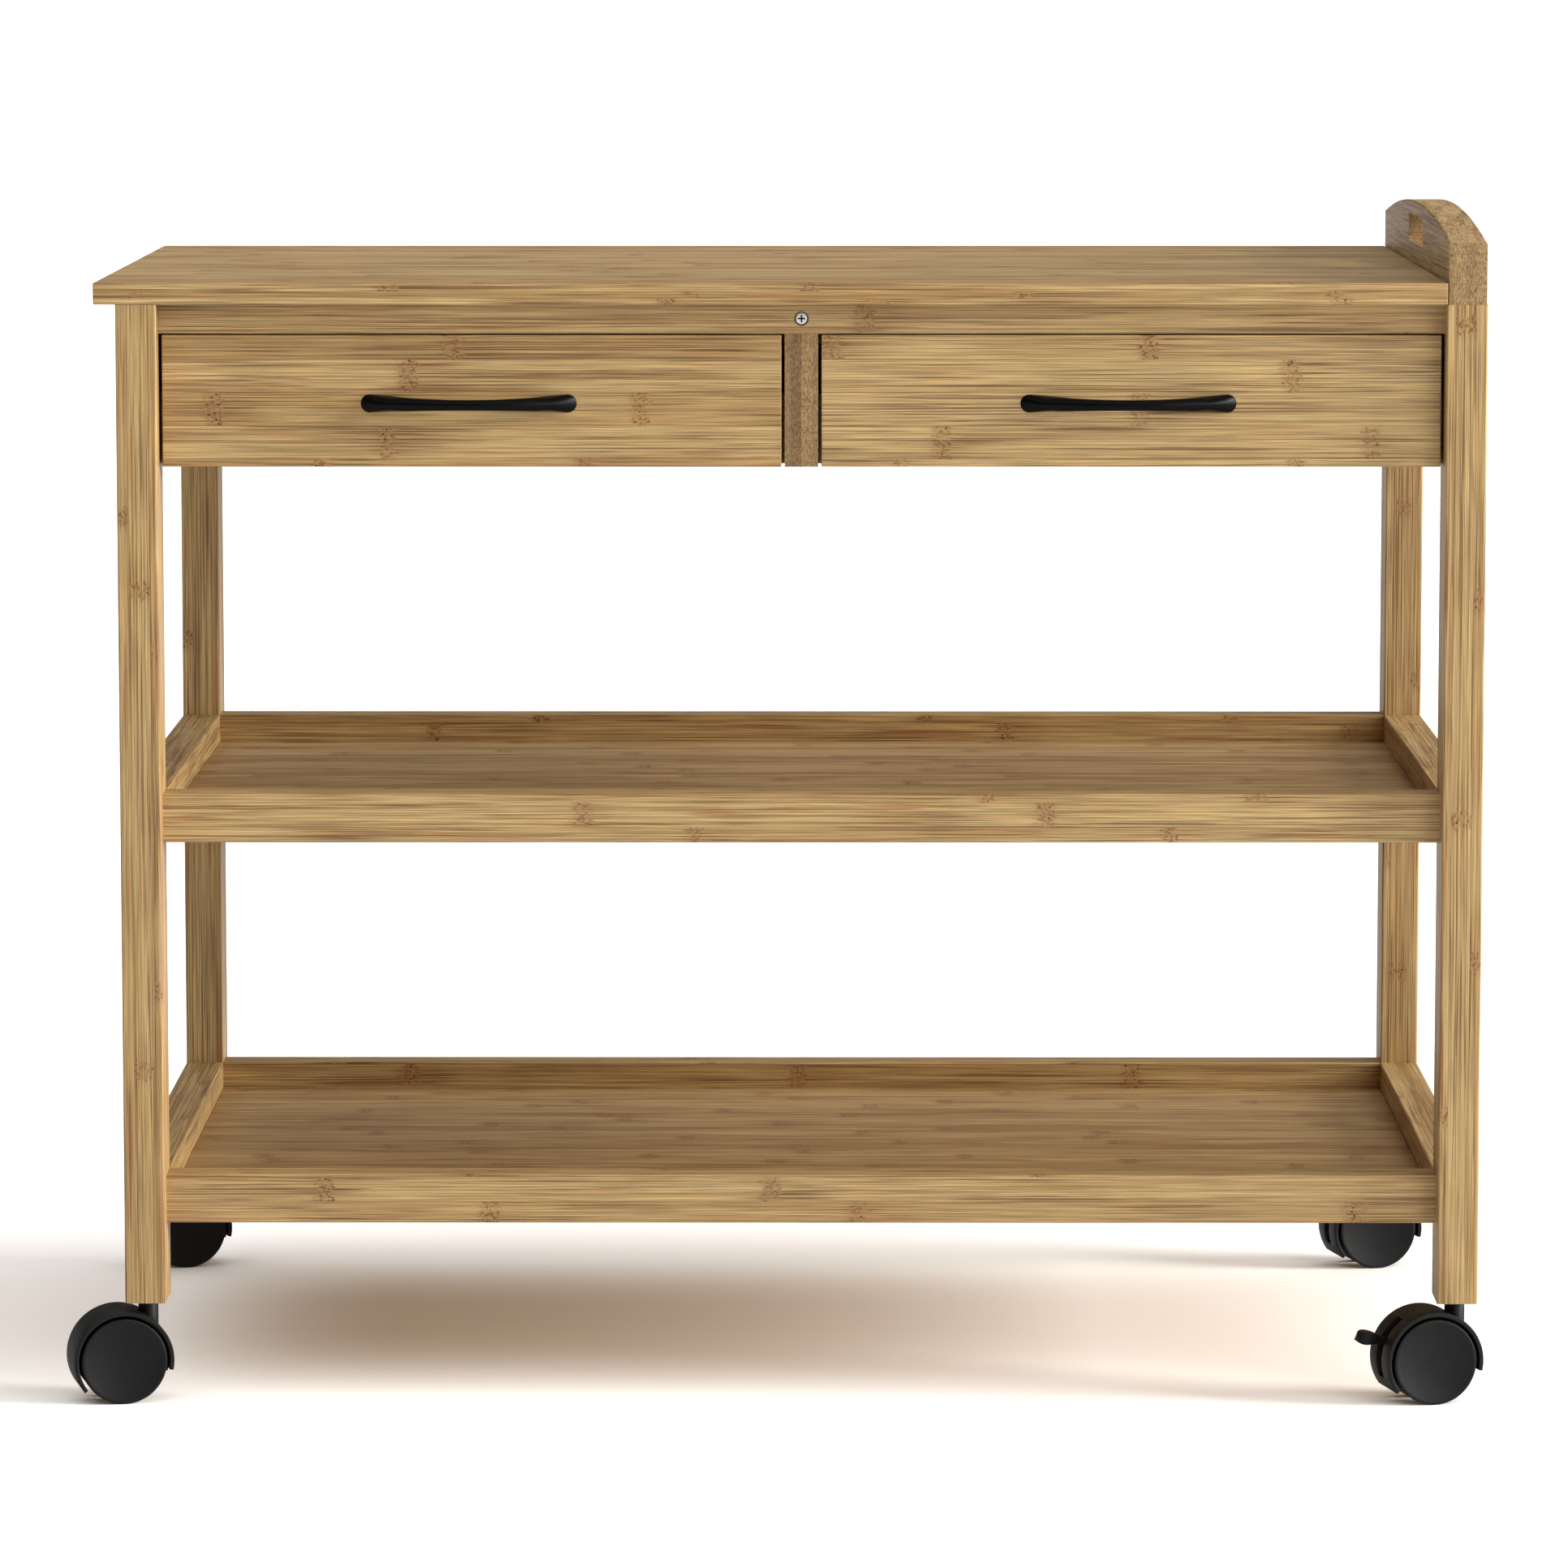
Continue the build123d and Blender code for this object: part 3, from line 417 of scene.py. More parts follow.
# The boards. axes: along the grain, across the strips, through the layers. strip and layer: their sizes.
# tan: how much of the wood is tan. gap: from knuckle to knuckle. tones: how far the strips differ.
bothSides = ("left", "right")
shelves = ("upper", "lower")
boards = [
    {"name": "bambooTop", "nodes": ["worktop"],
     "axes": "XYZ", "strip": 0.0203, "layer": 0.0049, "seed": 3, "tan": 0.36, "tones": 1.8},
    {"name": "bambooApron", "nodes": ["front_apron", "rear_apron"],
     "axes": "XZY", "strip": 0.0207, "layer": 0.0062, "seed": 5, "tan": 0.42, "gap": 0.40},
    {"name": "bambooLeftFront", "nodes": ["left_drawer_front"],
     "axes": "XZY", "strip": 0.0227, "layer": 0.0062, "seed": 8, "tan": 0.62, "gap": 0.23},
    {"name": "bambooRightFront", "nodes": ["right_drawer_front"],
     "axes": "XZY", "strip": 0.0227, "layer": 0.0062, "seed": 14, "tan": 0.34, "gap": 0.23},
    {"name": "bambooLeg",
     "nodes": ["front_left_leg", "front_right_leg", "rear_left_leg", "rear_right_leg"],
     "axes": "ZXY", "strip": 0.0140, "layer": 0.0151, "seed": 2, "tan": 0.40, "gap": 0.34},
    {"name": "bambooRail",
     "nodes": [f"{shelf}_shelf_{end}_rail" for shelf in shelves for end in ("front", "rear")],
     "axes": "XZY", "strip": 0.0175, "layer": 0.0062, "seed": 21, "tan": 0.36, "gap": 0.30},
    {"name": "bambooSideRail",
     "nodes": [f"{shelf}_shelf_{side}_rail" for shelf in shelves for side in bothSides],
     "axes": "YZX", "strip": 0.0175, "layer": 0.0062, "seed": 31, "tan": 0.40},
    {"name": "bambooSidePanel", "nodes": ["left_apron", "right_apron"],
     "axes": "YZX", "strip": 0.0207, "layer": 0.0062, "seed": 33, "tan": 0.40},
    {"name": "bambooHandle", "nodes": ["handle_board"],
     "axes": "YZX", "strip": 0.0205, "layer": 0.0077, "seed": 41, "tan": 0.42},
    {"name": "bambooDivider", "nodes": ["drawer_divider"],
     "axes": "YZX", "strip": 0.0205, "layer": 0.0077, "seed": 44, "tan": 0.45},
    {"name": "bambooShelf", "nodes": ["upper_shelf_panel", "lower_shelf_panel"],
     "axes": "XYZ", "strip": 0.0203, "layer": 0.0049, "seed": 51, "tan": 0.36, "tones": 1.5},
    {"name": "bambooDrawerBox",
     "nodes": [f"{side}_drawer_{face}_side" for side in bothSides for face in bothSides]
              + ["drawer_runners"],
     "axes": "YZX", "strip": 0.0240, "layer": 0.0062, "seed": 61, "tan": 0.34},
    {"name": "bambooDrawerBack", "nodes": ["left_drawer_back", "right_drawer_back"],
     "axes": "XZY", "strip": 0.0240, "layer": 0.0062, "seed": 63, "tan": 0.34},
    {"name": "bambooDrawerBottom", "nodes": ["left_drawer_bottom", "right_drawer_bottom"],
     "axes": "YXZ", "strip": 0.0330, "layer": 0.0026, "seed": 66, "tan": 0.28},
    {"name": "dowelWood", "nodes": ["frame_dowels"],
     "axes": "YXZ", "strip": 0.0500, "layer": 0.0500, "seed": 71, "tan": 0.15, "gap": 3.0},
]


def dress(node, finish):
    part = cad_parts[node]
    part.data.materials.clear()
    part.data.materials.append(finish)


for board in boards:
    values = {key: value for key, value in board.items() if key not in ("name", "nodes")}
    finish = bambooFinish(board["name"], **values)
    for node in board["nodes"]:
        dress(node, finish)
print("bamboo boards finished")


# Wear and tooth of the small parts: a fine random surface, used by plastic, lacquer and zinc alike.
hazeDensity = 55.0
toothDepth = 0.2 * mm


def makeFineTooth():
    value, vector = "NodeSocketFloat", "NodeSocketVector"
    given = [("Place", vector, None), ("Density", value, 1800.0), ("Smooth", value, 0.3),
             ("Rough", value, 0.5)]
    made = [("Height", value), ("Roughness", value), ("Cloud", value)]
    tree, inlet, outlet = newGroup("fineTooth", given, made)
    feeds = {"Vector": inlet["Place"], "Scale": inlet["Density"], "Detail": 2.0}
    grit = addNode(tree, "ShaderNodeTexNoise", feeds)
    feeds = {"Vector": inlet["Place"], "Scale": hazeDensity, "Detail": 3.0}
    haze = addNode(tree, "ShaderNodeTexNoise", feeds)
    tree.links.new(grit.outputs[0], outlet["Height"])
    tree.links.new(haze.outputs[0], outlet["Cloud"])
    mixed = calc(tree, "MULTIPLY_ADD", haze.outputs[0], 0.6, calc(tree, "MULTIPLY", grit.outputs[0], 0.4))
    roughness = spread(tree, mixed, *noiseSpan, inlet["Smooth"], inlet["Rough"], "LINEAR")
    tree.links.new(roughness, outlet["Roughness"])
    return tree


fineTooth = makeFineTooth()


def toothedFinish(name, look):
    finish, tree, shader = newFinish(name)
    tooth = tree.nodes.new("ShaderNodeGroup")
    tooth.node_tree = fineTooth
    tree.links.new(addNode(tree, "ShaderNodeTexCoord").outputs["Object"], tooth.inputs["Place"])
    for label in ("Density", "Smooth", "Rough"):
        tooth.inputs[label].default_value = look[label.lower()]
    tint = blendColour(tree, tooth.outputs["Cloud"], look["dark"], look["pale"])
    tree.links.new(tint, shader.inputs["Base Color"])
    tree.links.new(tooth.outputs["Roughness"], shader.inputs["Roughness"])
    feeds = {"Strength": look["relief"], "Distance": toothDepth, "Height": tooth.outputs["Height"]}
    tree.links.new(addNode(tree, "ShaderNodeBump", feeds).outputs[0], shader.inputs["Normal"])
    shader.inputs["Metallic"].default_value = look["metal"]
    shader.inputs["Specular IOR Level"].default_value = look["gloss"]
    return finish


plasticLook = {
    "dark": (0.003, 0.003, 0.0031, 1), "pale": (0.006, 0.006, 0.0061, 1),
    "density": 1500.0, "smooth": 0.42, "rough": 0.56, "relief": 0.80, "metal": 0.0, "gloss": 0.24,
}
lacquerLook = {
    "dark": (0.001, 0.001, 0.0011, 1), "pale": (0.002, 0.002, 0.0021, 1),
    "density": 900.0, "smooth": 0.26, "rough": 0.36, "relief": 0.06, "metal": 0.0, "gloss": 0.10,
}
zincLook = {
    "dark": (0.74, 0.75, 0.76, 1), "pale": (0.90, 0.91, 0.92, 1),
    "density": 1400.0, "smooth": 0.20, "rough": 0.38, "relief": 0.12, "metal": 0.35, "gloss": 0.6,
}
# painted shade: a near-black dull finish laid on the screws' cross recesses and head rims, where shade and
# a dark reflection fall
paintedShadeLook = {
    "dark": (0.010, 0.009, 0.008, 1), "pale": (0.025, 0.022, 0.020, 1),
    "density": 1400.0, "smooth": 0.50, "rough": 0.70, "relief": 0.12, "metal": 0.0, "gloss": 0.2,
}
blackPlastic = toothedFinish("blackPlastic", plasticLook)
blackLacquer = toothedFinish("blackLacquer", lacquerLook)
brightZinc = toothedFinish("brightZinc", zincLook)
paintedShade = toothedFinish("paintedShade", paintedShadeLook)
for node in ("frame_bolts", "barrel_nuts", "caster_stems", "caster_sockets"):
    dress(node, brightZinc)
for corner in ("front_left", "front_right", "rear_left", "rear_right"):
    dress(corner + "_caster_axle", brightZinc)
print("plastic, lacquer and zinc mixed")


# Hand work: starting a piece, picking faces or edges by place, and finishing it.
def editPiece():
    bpy.ops.object.mode_set(mode="EDIT")
    bpy.ops.mesh.select_mode(type="FACE")
    bpy.ops.mesh.select_all(action="SELECT")


def leavePiece():
    bpy.ops.object.mode_set(mode="OBJECT")


def pickFaces(test):
    bpy.ops.mesh.select_mode(type="FACE")
    bpy.ops.mesh.select_all(action="DESELECT")
    mesh = bmesh.from_edit_mesh(bpy.context.edit_object.data)
    for face in mesh.faces:
        face.select_set(test(face.calc_center_median(), face.normal))
    bmesh.update_edit_mesh(bpy.context.edit_object.data)


def pickEdges(test):
    bpy.ops.mesh.select_mode(type="EDGE")
    bpy.ops.mesh.select_all(action="DESELECT")
    mesh = bmesh.from_edit_mesh(bpy.context.edit_object.data)
    for edge in mesh.edges:
        edge.select_set(test(edge.verts[0].co, edge.verts[1].co))
    bmesh.update_edit_mesh(bpy.context.edit_object.data)


def settle(name):
    leavePiece()
    piece = bpy.context.object
    piece.name = name
    bpy.ops.object.transform_apply(location=True, rotation=True, scale=True)
    return piece


def addDrum(name, radius, depth, place, sides=96, across=True, ends="NGON"):
    bpy.ops.object.select_all(action="DESELECT")
    turn = (radians(90), 0, 0) if across else (0, 0, 0)
    bpy.ops.mesh.primitive_cylinder_add(vertices=sides, radius=radius, depth=depth, location=place,
                                        rotation=turn, end_fill_type=ends)
    bpy.context.object.name = name
    bpy.ops.object.transform_apply(location=True, rotation=True, scale=True)
    return bpy.context.object


def useModifier(piece, kind, **settings):
    bpy.context.view_layer.objects.active = piece
    modifier = piece.modifiers.new(kind.title(), kind)
    for key, value in settings.items():
        setattr(modifier, key, value)
    bpy.ops.object.modifier_apply(modifier=modifier.name)


def mergeSolid(piece, tool, way):
    useModifier(piece, "BOOLEAN", operation=way, object=tool, solver="EXACT")
    bpy.data.objects.remove(tool)


def smooth(piece, angle=35):
    bpy.ops.object.select_all(action="DESELECT")
    piece.select_set(True)
    bpy.context.view_layer.objects.active = piece
    bpy.ops.object.shade_smooth_by_angle(angle=radians(angle))


def copyOf(master, name, move):
    piece = master.copy()
    piece.data = master.data.copy()
    piece.name = name
    bpy.context.collection.objects.link(piece)
    piece.data.transform(move)
    return piece


def finishPiece(piece, finish, slotName, body, *nodes):
    piece.data.materials.clear()
    piece.data.materials.append(finish)
    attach(piece, body)
    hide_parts(*nodes)


# Casters: modelled once about the swivel, axle along y, then turned and copied to each corner.
caster = {"x": 456 * mm, "y": 260 * mm, "turn": 13.7, "trail": 20 * mm, "axle": 30 * mm}
axlePlace = Vector((-caster["trail"], 0, caster["axle"]))


def axleAngle(point):
    return degrees(atan2(point.z - axlePlace.z, point.x - axlePlace.x)) % 360


def cutAcross(angle, **settings):
    normal = (-sin(radians(angle)), 0, cos(radians(angle)))
    bpy.ops.mesh.select_all(action="SELECT")
    bpy.ops.mesh.bisect(plane_co=axlePlace, plane_no=normal, **settings)


hood = {
    "outer": 35 * mm,
    "wall": 3 * mm,
    "width": 41 * mm,
    "ease": 0.55 * mm,
    # the shell is open between these angles, counted from ahead and up
    "trail": 217,
    "lead": 348,
    "webWidth": 14.2 * mm,
    "webFoot": 20 * mm,
    "neck": 7 * mm,
    "neckTop": 68.5 * mm,
    # the brake's way out: a slot in the shell and a hollow in the web
    "slotFrom": 124,
    "slotTo": 201,
    "slotWidth": 11 * mm,
    "cavity": 6.6 * mm,
}


def inSlot(middle):
    return abs(middle.y) < hood["slotWidth"] / 2 and hood["slotFrom"] < axleAngle(middle) < hood["slotTo"]


def makeHood(name, braked):
    shell = addDrum(name, hood["outer"], hood["width"], axlePlace, sides=120, ends="NOTHING")
    editPiece()
    cutAcross(hood["lead"])
    cutAcross(hood["trail"])
    pickFaces(lambda middle, normal: hood["trail"] < axleAngle(middle) < hood["lead"])
    bpy.ops.mesh.delete(type="FACE")
    if braked:
        half = hood["slotWidth"] / 2
        for side in (-half, half):
            bpy.ops.mesh.select_all(action="SELECT")
            bpy.ops.mesh.bisect(plane_co=(0, side, 0), plane_no=(0, 1, 0))
        cutAcross(hood["slotFrom"])
        cutAcross(hood["slotTo"])
        pickFaces(lambda middle, normal: inSlot(middle))
        bpy.ops.mesh.delete(type="FACE")
    leavePiece()
    useModifier(shell, "SOLIDIFY", thickness=hood["wall"], offset=-1.0, use_even_offset=True)
    useModifier(shell, "BEVEL", width=hood["ease"], segments=3, limit_method="ANGLE",
                angle_limit=radians(40))
    web = addDrum(name + "Web", hood["outer"] - hood["wall"] / 2, hood["webWidth"], axlePlace)
    editPiece()
    bpy.ops.mesh.bisect(plane_co=(0, 0, hood["webFoot"]), plane_no=(0, 0, 1), clear_inner=True,
                        use_fill=True)
    leavePiece()
    if braked:
        wedge = addDrum(name + "Wedge", hood["outer"], hood["cavity"], axlePlace)
        editPiece()
        cutAcross(hood["slotFrom"], clear_inner=True, use_fill=True)
        cutAcross(hood["slotTo"], clear_outer=True, use_fill=True)
        leavePiece()
        mergeSolid(web, wedge, "DIFFERENCE")
    low = caster["axle"]
    neckPlace = (0, 0, (low + hood["neckTop"]) / 2)
    neck = addDrum(name + "Neck", hood["neck"], hood["neckTop"] - low, neckPlace, sides=48, across=False)
    editPiece()
    pickFaces(lambda middle, normal: normal.z > 0.9)
    bpy.ops.mesh.bevel(offset=hood["ease"], segments=2, affect="EDGES")
    leavePiece()
    mergeSolid(web, neck, "UNION")
    mergeSolid(shell, web, "UNION")
    smooth(shell)
    return shell


# The wheel: a disc, hollow towards the middle of the caster, with a faint dish in its outer face.
wheel = {
    "radius": 30 * mm,
    "inner": 8.2 * mm,
    "outer": 20.3 * mm,
    "ease": 0.9 * mm,
    "rim": 4 * mm,
    "hub": 9 * mm,
    "pocket": 8 * mm,
    "hubDrop": 0.4 * mm,
    "border": 1.6 * mm,
    "dishEdge": 0.5 * mm,
    "dish": 0.25 * mm,
}
pointSlack = 0.02 * mm


def fromAxle(point):
    return (point - axlePlace).xz.length


def onOuterRim(point):
    return abs(point.y + wheel["outer"]) + abs(fromAxle(point) - wheel["radius"]) < pointSlack


def onInnerFace(point):
    return abs(point.y + wheel["inner"]) < pointSlack


def makeWheel(name):
    middle = -(wheel["inner"] + wheel["outer"]) / 2
    depth = wheel["outer"] - wheel["inner"]
    piece = addDrum(name, wheel["radius"], depth, axlePlace + Vector((0, middle, 0)), sides=120)
    editPiece()
    pickFaces(lambda middle, normal: normal.y > 0.9)
    bpy.ops.mesh.inset(thickness=wheel["rim"])
    bpy.ops.mesh.extrude_region_move(TRANSFORM_OT_translate={"value": (0, -wheel["pocket"], 0)})
    bpy.ops.mesh.inset(thickness=wheel["radius"] - wheel["rim"] - wheel["hub"])
    rise = wheel["pocket"] - wheel["hubDrop"]
    bpy.ops.mesh.extrude_region_move(TRANSFORM_OT_translate={"value": (0, rise, 0)})
    pickEdges(lambda a, b: (onOuterRim(a) or onOuterRim(b)) and abs(a.y - b.y) < pointSlack)
    bpy.ops.mesh.bevel(offset=wheel["ease"], segments=4, affect="EDGES")
    pickEdges(lambda a, b: onInnerFace(a) and onInnerFace(b)
              and abs(fromAxle(a) - wheel["radius"]) < 0.05 * mm)
    bpy.ops.mesh.bevel(offset=wheel["ease"], segments=3, affect="EDGES")
    pickFaces(lambda middle, normal: normal.y < -0.99 and fromAxle(middle) < 1 * mm)
    bpy.ops.mesh.inset(thickness=wheel["border"])
    bpy.ops.mesh.inset(thickness=wheel["dishEdge"], depth=-wheel["dish"])
    leavePiece()
    smooth(piece, 30)
    return piece


# The foot lever: a hub on the axle, an arm out through the hood, and a leaf-shaped pedal.
lever = {
    "angle": 157,
    "hub": 7.5 * mm,
    "thick": 6 * mm,
    "arm": 5 * mm,
    "armEnd": 35.5 * mm,
    "ease": 0.5 * mm,
    # reach, width across, thickness and drop of each station of the pedal, in mm
    "pedal": [
        (38.0, 6.6, 5.4, 0.3),
        (41.0, 9.6, 7.0, 0.9),
        (44.5, 12.8, 8.8, 1.8),
        (48.0, 14.2, 9.6, 2.7),
        (51.0, 13.4, 9.0, 3.4),
        (53.0, 10.0, 6.8, 3.9),
        (53.9, 5.0, 4.0, 4.1),
    ],
}


def makeLever(name):
    hub = addDrum(name + "Hub", lever["hub"], lever["thick"], (0, 0, 0), sides=48)
    bpy.ops.object.select_all(action="DESELECT")
    bpy.ops.mesh.primitive_cube_add(size=1, location=(lever["armEnd"] / 2, 0, 0),
                                    scale=(lever["armEnd"], lever["thick"], lever["arm"]))
    piece = settle(name)
    editPiece()
    pickFaces(lambda middle, normal: normal.x > 0.9)
    reach, wide, thick, drop = lever["armEnd"], lever["thick"], lever["arm"], 0.0
    for station in lever["pedal"]:
        nextReach, nextWide, nextThick, nextDrop = (size * mm for size in station)
        step = (nextReach - reach, 0, nextDrop - drop)
        bpy.ops.mesh.extrude_region_move(TRANSFORM_OT_translate={"value": step})
        bpy.ops.transform.resize(value=(1, nextWide / wide, nextThick / thick),
                                 center_override=(nextReach, 0, nextDrop))
        reach, wide, thick, drop = nextReach, nextWide, nextThick, nextDrop
    leavePiece()
    useModifier(piece, "BEVEL", width=lever["ease"], segments=2, limit_method="ANGLE",
                angle_limit=radians(50))
    useModifier(piece, "SUBSURF", levels=2, render_levels=2)
    mergeSolid(piece, hub, "UNION")
    smooth(piece)
    turn = Matrix.Translation(axlePlace) @ Matrix.Rotation(-radians(lever["angle"]), 4, "Y")
    piece.data.transform(turn)
    return piece


def cornerPlace(end, side):
    place = Vector((caster["x"] * side, caster["y"] * end, 0))
    return Matrix.Translation(place) @ Matrix.Rotation(radians(caster["turn"]), 4, "Z")


plainHood = makeHood("plainHood", False)
brakedHood = makeHood("brakedHood", True)
discWheel = makeWheel("discWheel")
footLever = makeLever("footLever")
aboutTurn = Matrix.Rotation(radians(180), 4, "Z")
faceAbout = Matrix.Translation(axlePlace) @ aboutTurn @ Matrix.Translation(-axlePlace)
for end, endSign in (("front", -1), ("rear", 1)):
    for side, sideSign in (("left", -1), ("right", 1)):
        corner = f"{end}_{side}"
        move = cornerPlace(endSign, sideSign)
        braked = side == "right"
        piece = copyOf(brakedHood if braked else plainHood, corner + "_hood", move)
        finishPiece(piece, blackPlastic, "black_plastic", corner + "_caster", corner + "_caster_hood")
        for face, turn in (("front", Matrix.Identity(4)), ("rear", faceAbout)):
            piece = copyOf(discWheel, f"{corner}_{face}_disc", move @ turn)
            body = f"{corner}_{face}_wheel"
            finishPiece(piece, blackPlastic, "black_plastic", body, f"{corner}_caster_{face}_wheel")
        if braked:
            piece = copyOf(footLever, corner + "_pedal", move)
            node = corner + "_caster_brake_lever"
            finishPiece(piece, blackPlastic, "black_plastic", corner + "_brake", node)
for master in (plainHood, brakedHood, discWheel, footLever):
    bpy.data.objects.remove(master)
print("casters modelled")


# Drawer pulls: a slim waist that swells towards flat feet on the drawer front.
pull = {
    "reach": 74.3 * mm,
    "outer": 25 * mm,
    "inner": 17 * mm,
    "foot": 54.3 * mm,
    "endHalf": 6.3 * mm,
    "waistHalf": 3.7 * mm,
    # the foot thickens from here on, over this length, and sinks behind the face by this share
    "sinkFrom": 46 * mm,
    "sinkOver": 12 * mm,
    "sinkShare": 0.9,
    # where the sections stand, in mm from the middle
    "stations": (7, 14, 21, 28, 35, 41, 46, 50, 53, 56, 59, 62, 65, 67.8,
                 69.8, 71.4, 72.6, 73.4, 73.9, 74.2),
    # its place on the drawer front, a little off the middle
    "face": -265.5 * mm,
    "height": 696.35 * mm,
    "middle": 226.75 * mm,
    "shift": -2.0 * mm,
    "screwSpan": 64 * mm,
    "screwSeat": -247.5 * mm,
}


# The end sections are thin, so cutting and merging go by a much finer distance than usual.
fineSlack = 0.001 * mm


def arcDepth(x, halfSpan, rise):
    radius = (halfSpan ** 2 + rise ** 2) / (2 * rise)
    return sqrt(max(radius ** 2 - x ** 2, 0)) - (radius - rise)


def pullSection(x):
    outer = arcDepth(x, pull["reach"], pull["outer"])
    sink = min(max((x - pull["sinkFrom"]) / pull["sinkOver"], 0), 1)
    sink = sink * sink * (3 - 2 * sink)
    inner = arcDepth(x, pull["foot"], pull["inner"]) * (1 - sink) - outer * pull["sinkShare"] * sink
    shoulder = pull["reach"] - pull["endHalf"]
    if x > shoulder:
        halfHeight = sqrt(max(pull["endHalf"] ** 2 - (x - shoulder) ** 2, 0))
    else:
        swell = pull["endHalf"] - pull["waistHalf"]
        radius = (shoulder ** 2 + swell ** 2) / (2 * swell)
        halfHeight = pull["waistHalf"] + radius - sqrt(radius ** 2 - x ** 2)
    return -(outer + inner) / 2, (outer - inner) / 2, halfHeight


def makePull(name):
    middle, halfDepth, halfHeight = pullSection(0)
    bpy.ops.object.select_all(action="DESELECT")
    bpy.ops.mesh.primitive_circle_add(vertices=28, radius=1, fill_type="NGON", location=(0, middle, 0),
                                      rotation=(0, radians(90), 0), scale=(1, 1, 1))
    piece = settle(name)
    editPiece()
    bpy.ops.transform.resize(value=(1, halfDepth, halfHeight), center_override=(0, middle, 0))
    bpy.ops.mesh.select_all(action="SELECT")
    last = 0
    for station in pull["stations"]:
        x = station * mm
        nextMiddle, nextDepth, nextHeight = pullSection(x)
        step = (x - last, nextMiddle - middle, 0)
        bpy.ops.mesh.extrude_region_move(TRANSFORM_OT_translate={"value": step})
        bpy.ops.transform.resize(value=(1, nextDepth / halfDepth, nextHeight / halfHeight),
                                 center_override=(x, nextMiddle, 0))
        last, middle, halfDepth, halfHeight = x, nextMiddle, nextDepth, nextHeight
    bpy.ops.mesh.select_all(action="SELECT")
    bpy.ops.mesh.normals_make_consistent(inside=False)
    pickFaces(lambda middle, normal: abs(middle.x) < 0.1 * mm)
    bpy.ops.mesh.delete(type="FACE")
    bpy.ops.mesh.select_all(action="SELECT")
    bpy.ops.mesh.bisect(plane_co=(0, 0, 0), plane_no=(0, 1, 0), clear_outer=True, use_fill=True,
                        threshold=fineSlack)
    leavePiece()
    useModifier(piece, "MIRROR", use_axis=(True, False, False), use_clip=True, merge_threshold=0.05 * mm)
    editPiece()
    bpy.ops.mesh.remove_doubles(threshold=fineSlack)
    bpy.ops.mesh.normals_make_consistent(inside=False)
    leavePiece()
    smooth(piece, 40)
    return piece


bowPull = makePull("bowPull")
for side, sideSign in (("left", -1), ("right", 1)):
    move = Matrix.Translation((pull["middle"] * sideSign + pull["shift"], pull["face"], pull["height"]))
    piece = copyOf(bowPull, side + "_bow_pull", move)
    finishPiece(piece, blackLacquer, "black_metal", side + "_drawer", side + "_drawer_pull")
bpy.data.objects.remove(bowPull)
print("drawer pulls modelled")


# Screws: a domed head with a cross in it, drawn down into its shank.
bigScrew = {"head": 4.25 * mm, "height": 2.6 * mm, "dome": 1.3 * mm, "shank": 2.2 * mm, "length": 55 * mm}
smallScrew = {"head": 4.0 * mm, "height": 2.5 * mm, "dome": 1.2 * mm, "shank": 2.0 * mm, "length": 23 * mm}
crossCut = {"length": 5.0 * mm, "width": 1.1 * mm, "depth": 1.5 * mm}
screwTip = {"length": 1.5 * mm, "share": 0.4}
# the divider's screws: one through the front apron, two through the rear one
dividerSpots = [
    ((0, -262.3 * mm, 754.65 * mm), 90),
    ((0, 252.3 * mm, 680.7 * mm), -90),
    ((0, 252.3 * mm, 737.0 * mm), -90),
]


# The cross and the steep rim of the head are painted dark: painted shade in the cross's recess and a
# painted dark reflection on the rim. The rest is bright.
def inCross(face, size):
    depth = size["height"] - face.center.z
    deep = 0.2 * mm < depth < crossCut["depth"] + 0.1 * mm
    return deep and face.center.xy.length < crossCut["length"] / 2


def onHeadRim(face, size):
    steep = face.center.z > 0 and abs(face.normal.z) < 0.45
    return steep and face.center.xy.length > size["head"] * 0.85


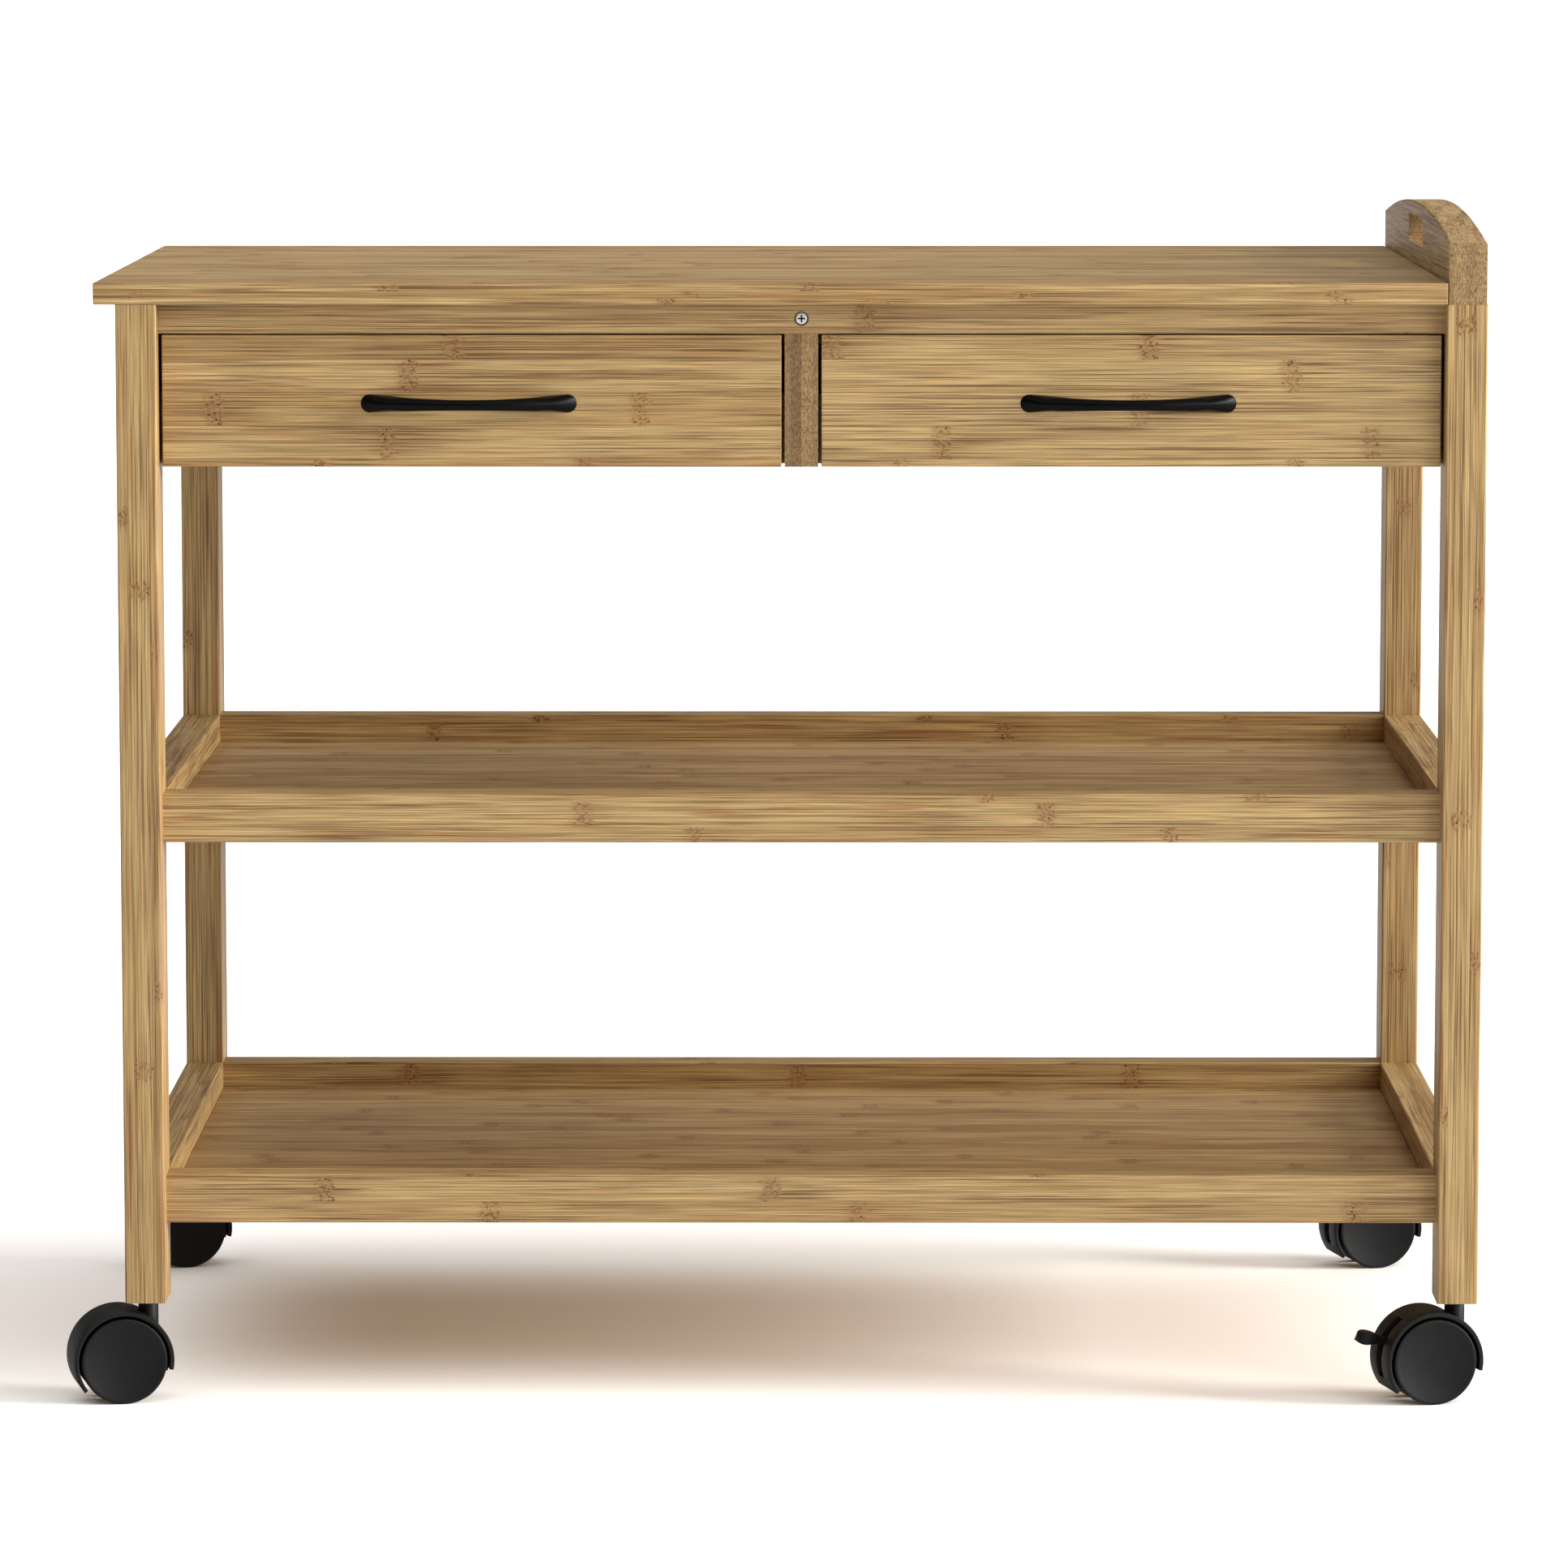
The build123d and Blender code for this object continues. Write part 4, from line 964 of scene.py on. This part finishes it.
def makeScrew(name, size):
    piece = addDrum(name, size["head"], size["height"], (0, 0, size["height"] / 2), sides=48, across=False)
    editPiece()
    pickFaces(lambda middle, normal: normal.z > 0.9)
    bpy.ops.mesh.bevel(offset=size["dome"], segments=5, affect="EDGES")
    pickFaces(lambda middle, normal: normal.z < -0.9)
    bpy.ops.mesh.inset(thickness=size["head"] - size["shank"])
    for length in (size["length"] - screwTip["length"], screwTip["length"]):
        bpy.ops.mesh.extrude_region_move(TRANSFORM_OT_translate={"value": (0, 0, -length)})
    bpy.ops.transform.resize(value=(screwTip["share"], screwTip["share"], 1))
    leavePiece()
    for turn in (0, 90):
        bpy.ops.object.select_all(action="DESELECT")
        sizes = (crossCut["length"], crossCut["width"], 2 * crossCut["depth"])
        bpy.ops.mesh.primitive_cube_add(size=1, location=(0, 0, size["height"]), scale=sizes,
                                        rotation=(0, 0, radians(turn)))
        mergeSolid(piece, settle(name + "Cutter"), "DIFFERENCE")
    smooth(piece)
    # painted shade and dark reflection: the faces of the cross and of the head's steep rim take the
    # near-black finish
    for finish in (brightZinc, paintedShade):
        piece.data.materials.append(finish)
    for face in piece.data.polygons:
        darkened = inCross(face, size) or onHeadRim(face, size)
        face.material_index = 1 if darkened else 0
    return piece


def placeScrews(master, name, spots, body, node):
    pieces = []
    for place, turn in spots:
        move = Matrix.Translation(place) @ Matrix.Rotation(radians(turn), 4, "X")
        pieces.append(copyOf(master, name, move))
    bpy.ops.object.select_all(action="DESELECT")
    for piece in pieces:
        piece.select_set(True)
    bpy.context.view_layer.objects.active = pieces[0]
    bpy.ops.object.join()
    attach(pieces[0], body)
    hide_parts(node)


longScrew = makeScrew("longScrew", bigScrew)
shortScrew = makeScrew("shortScrew", smallScrew)
placeScrews(longScrew, "divider_cross_screws", dividerSpots, "frame", "divider_screws")
for side, sideSign in (("left", -1), ("right", 1)):
    middle = pull["middle"] * sideSign + pull["shift"]
    spots = []
    for hand in (-1, 1):
        spots.append(((middle + hand * pull["screwSpan"], pull["screwSeat"], pull["height"]), -90))
    drawer = side + "_drawer"
    placeScrews(shortScrew, side + "_pull_cross_screws", spots, drawer, drawer + "_pull_screws")
bpy.data.objects.remove(longScrew)
bpy.data.objects.remove(shortScrew)
print("screws modelled")
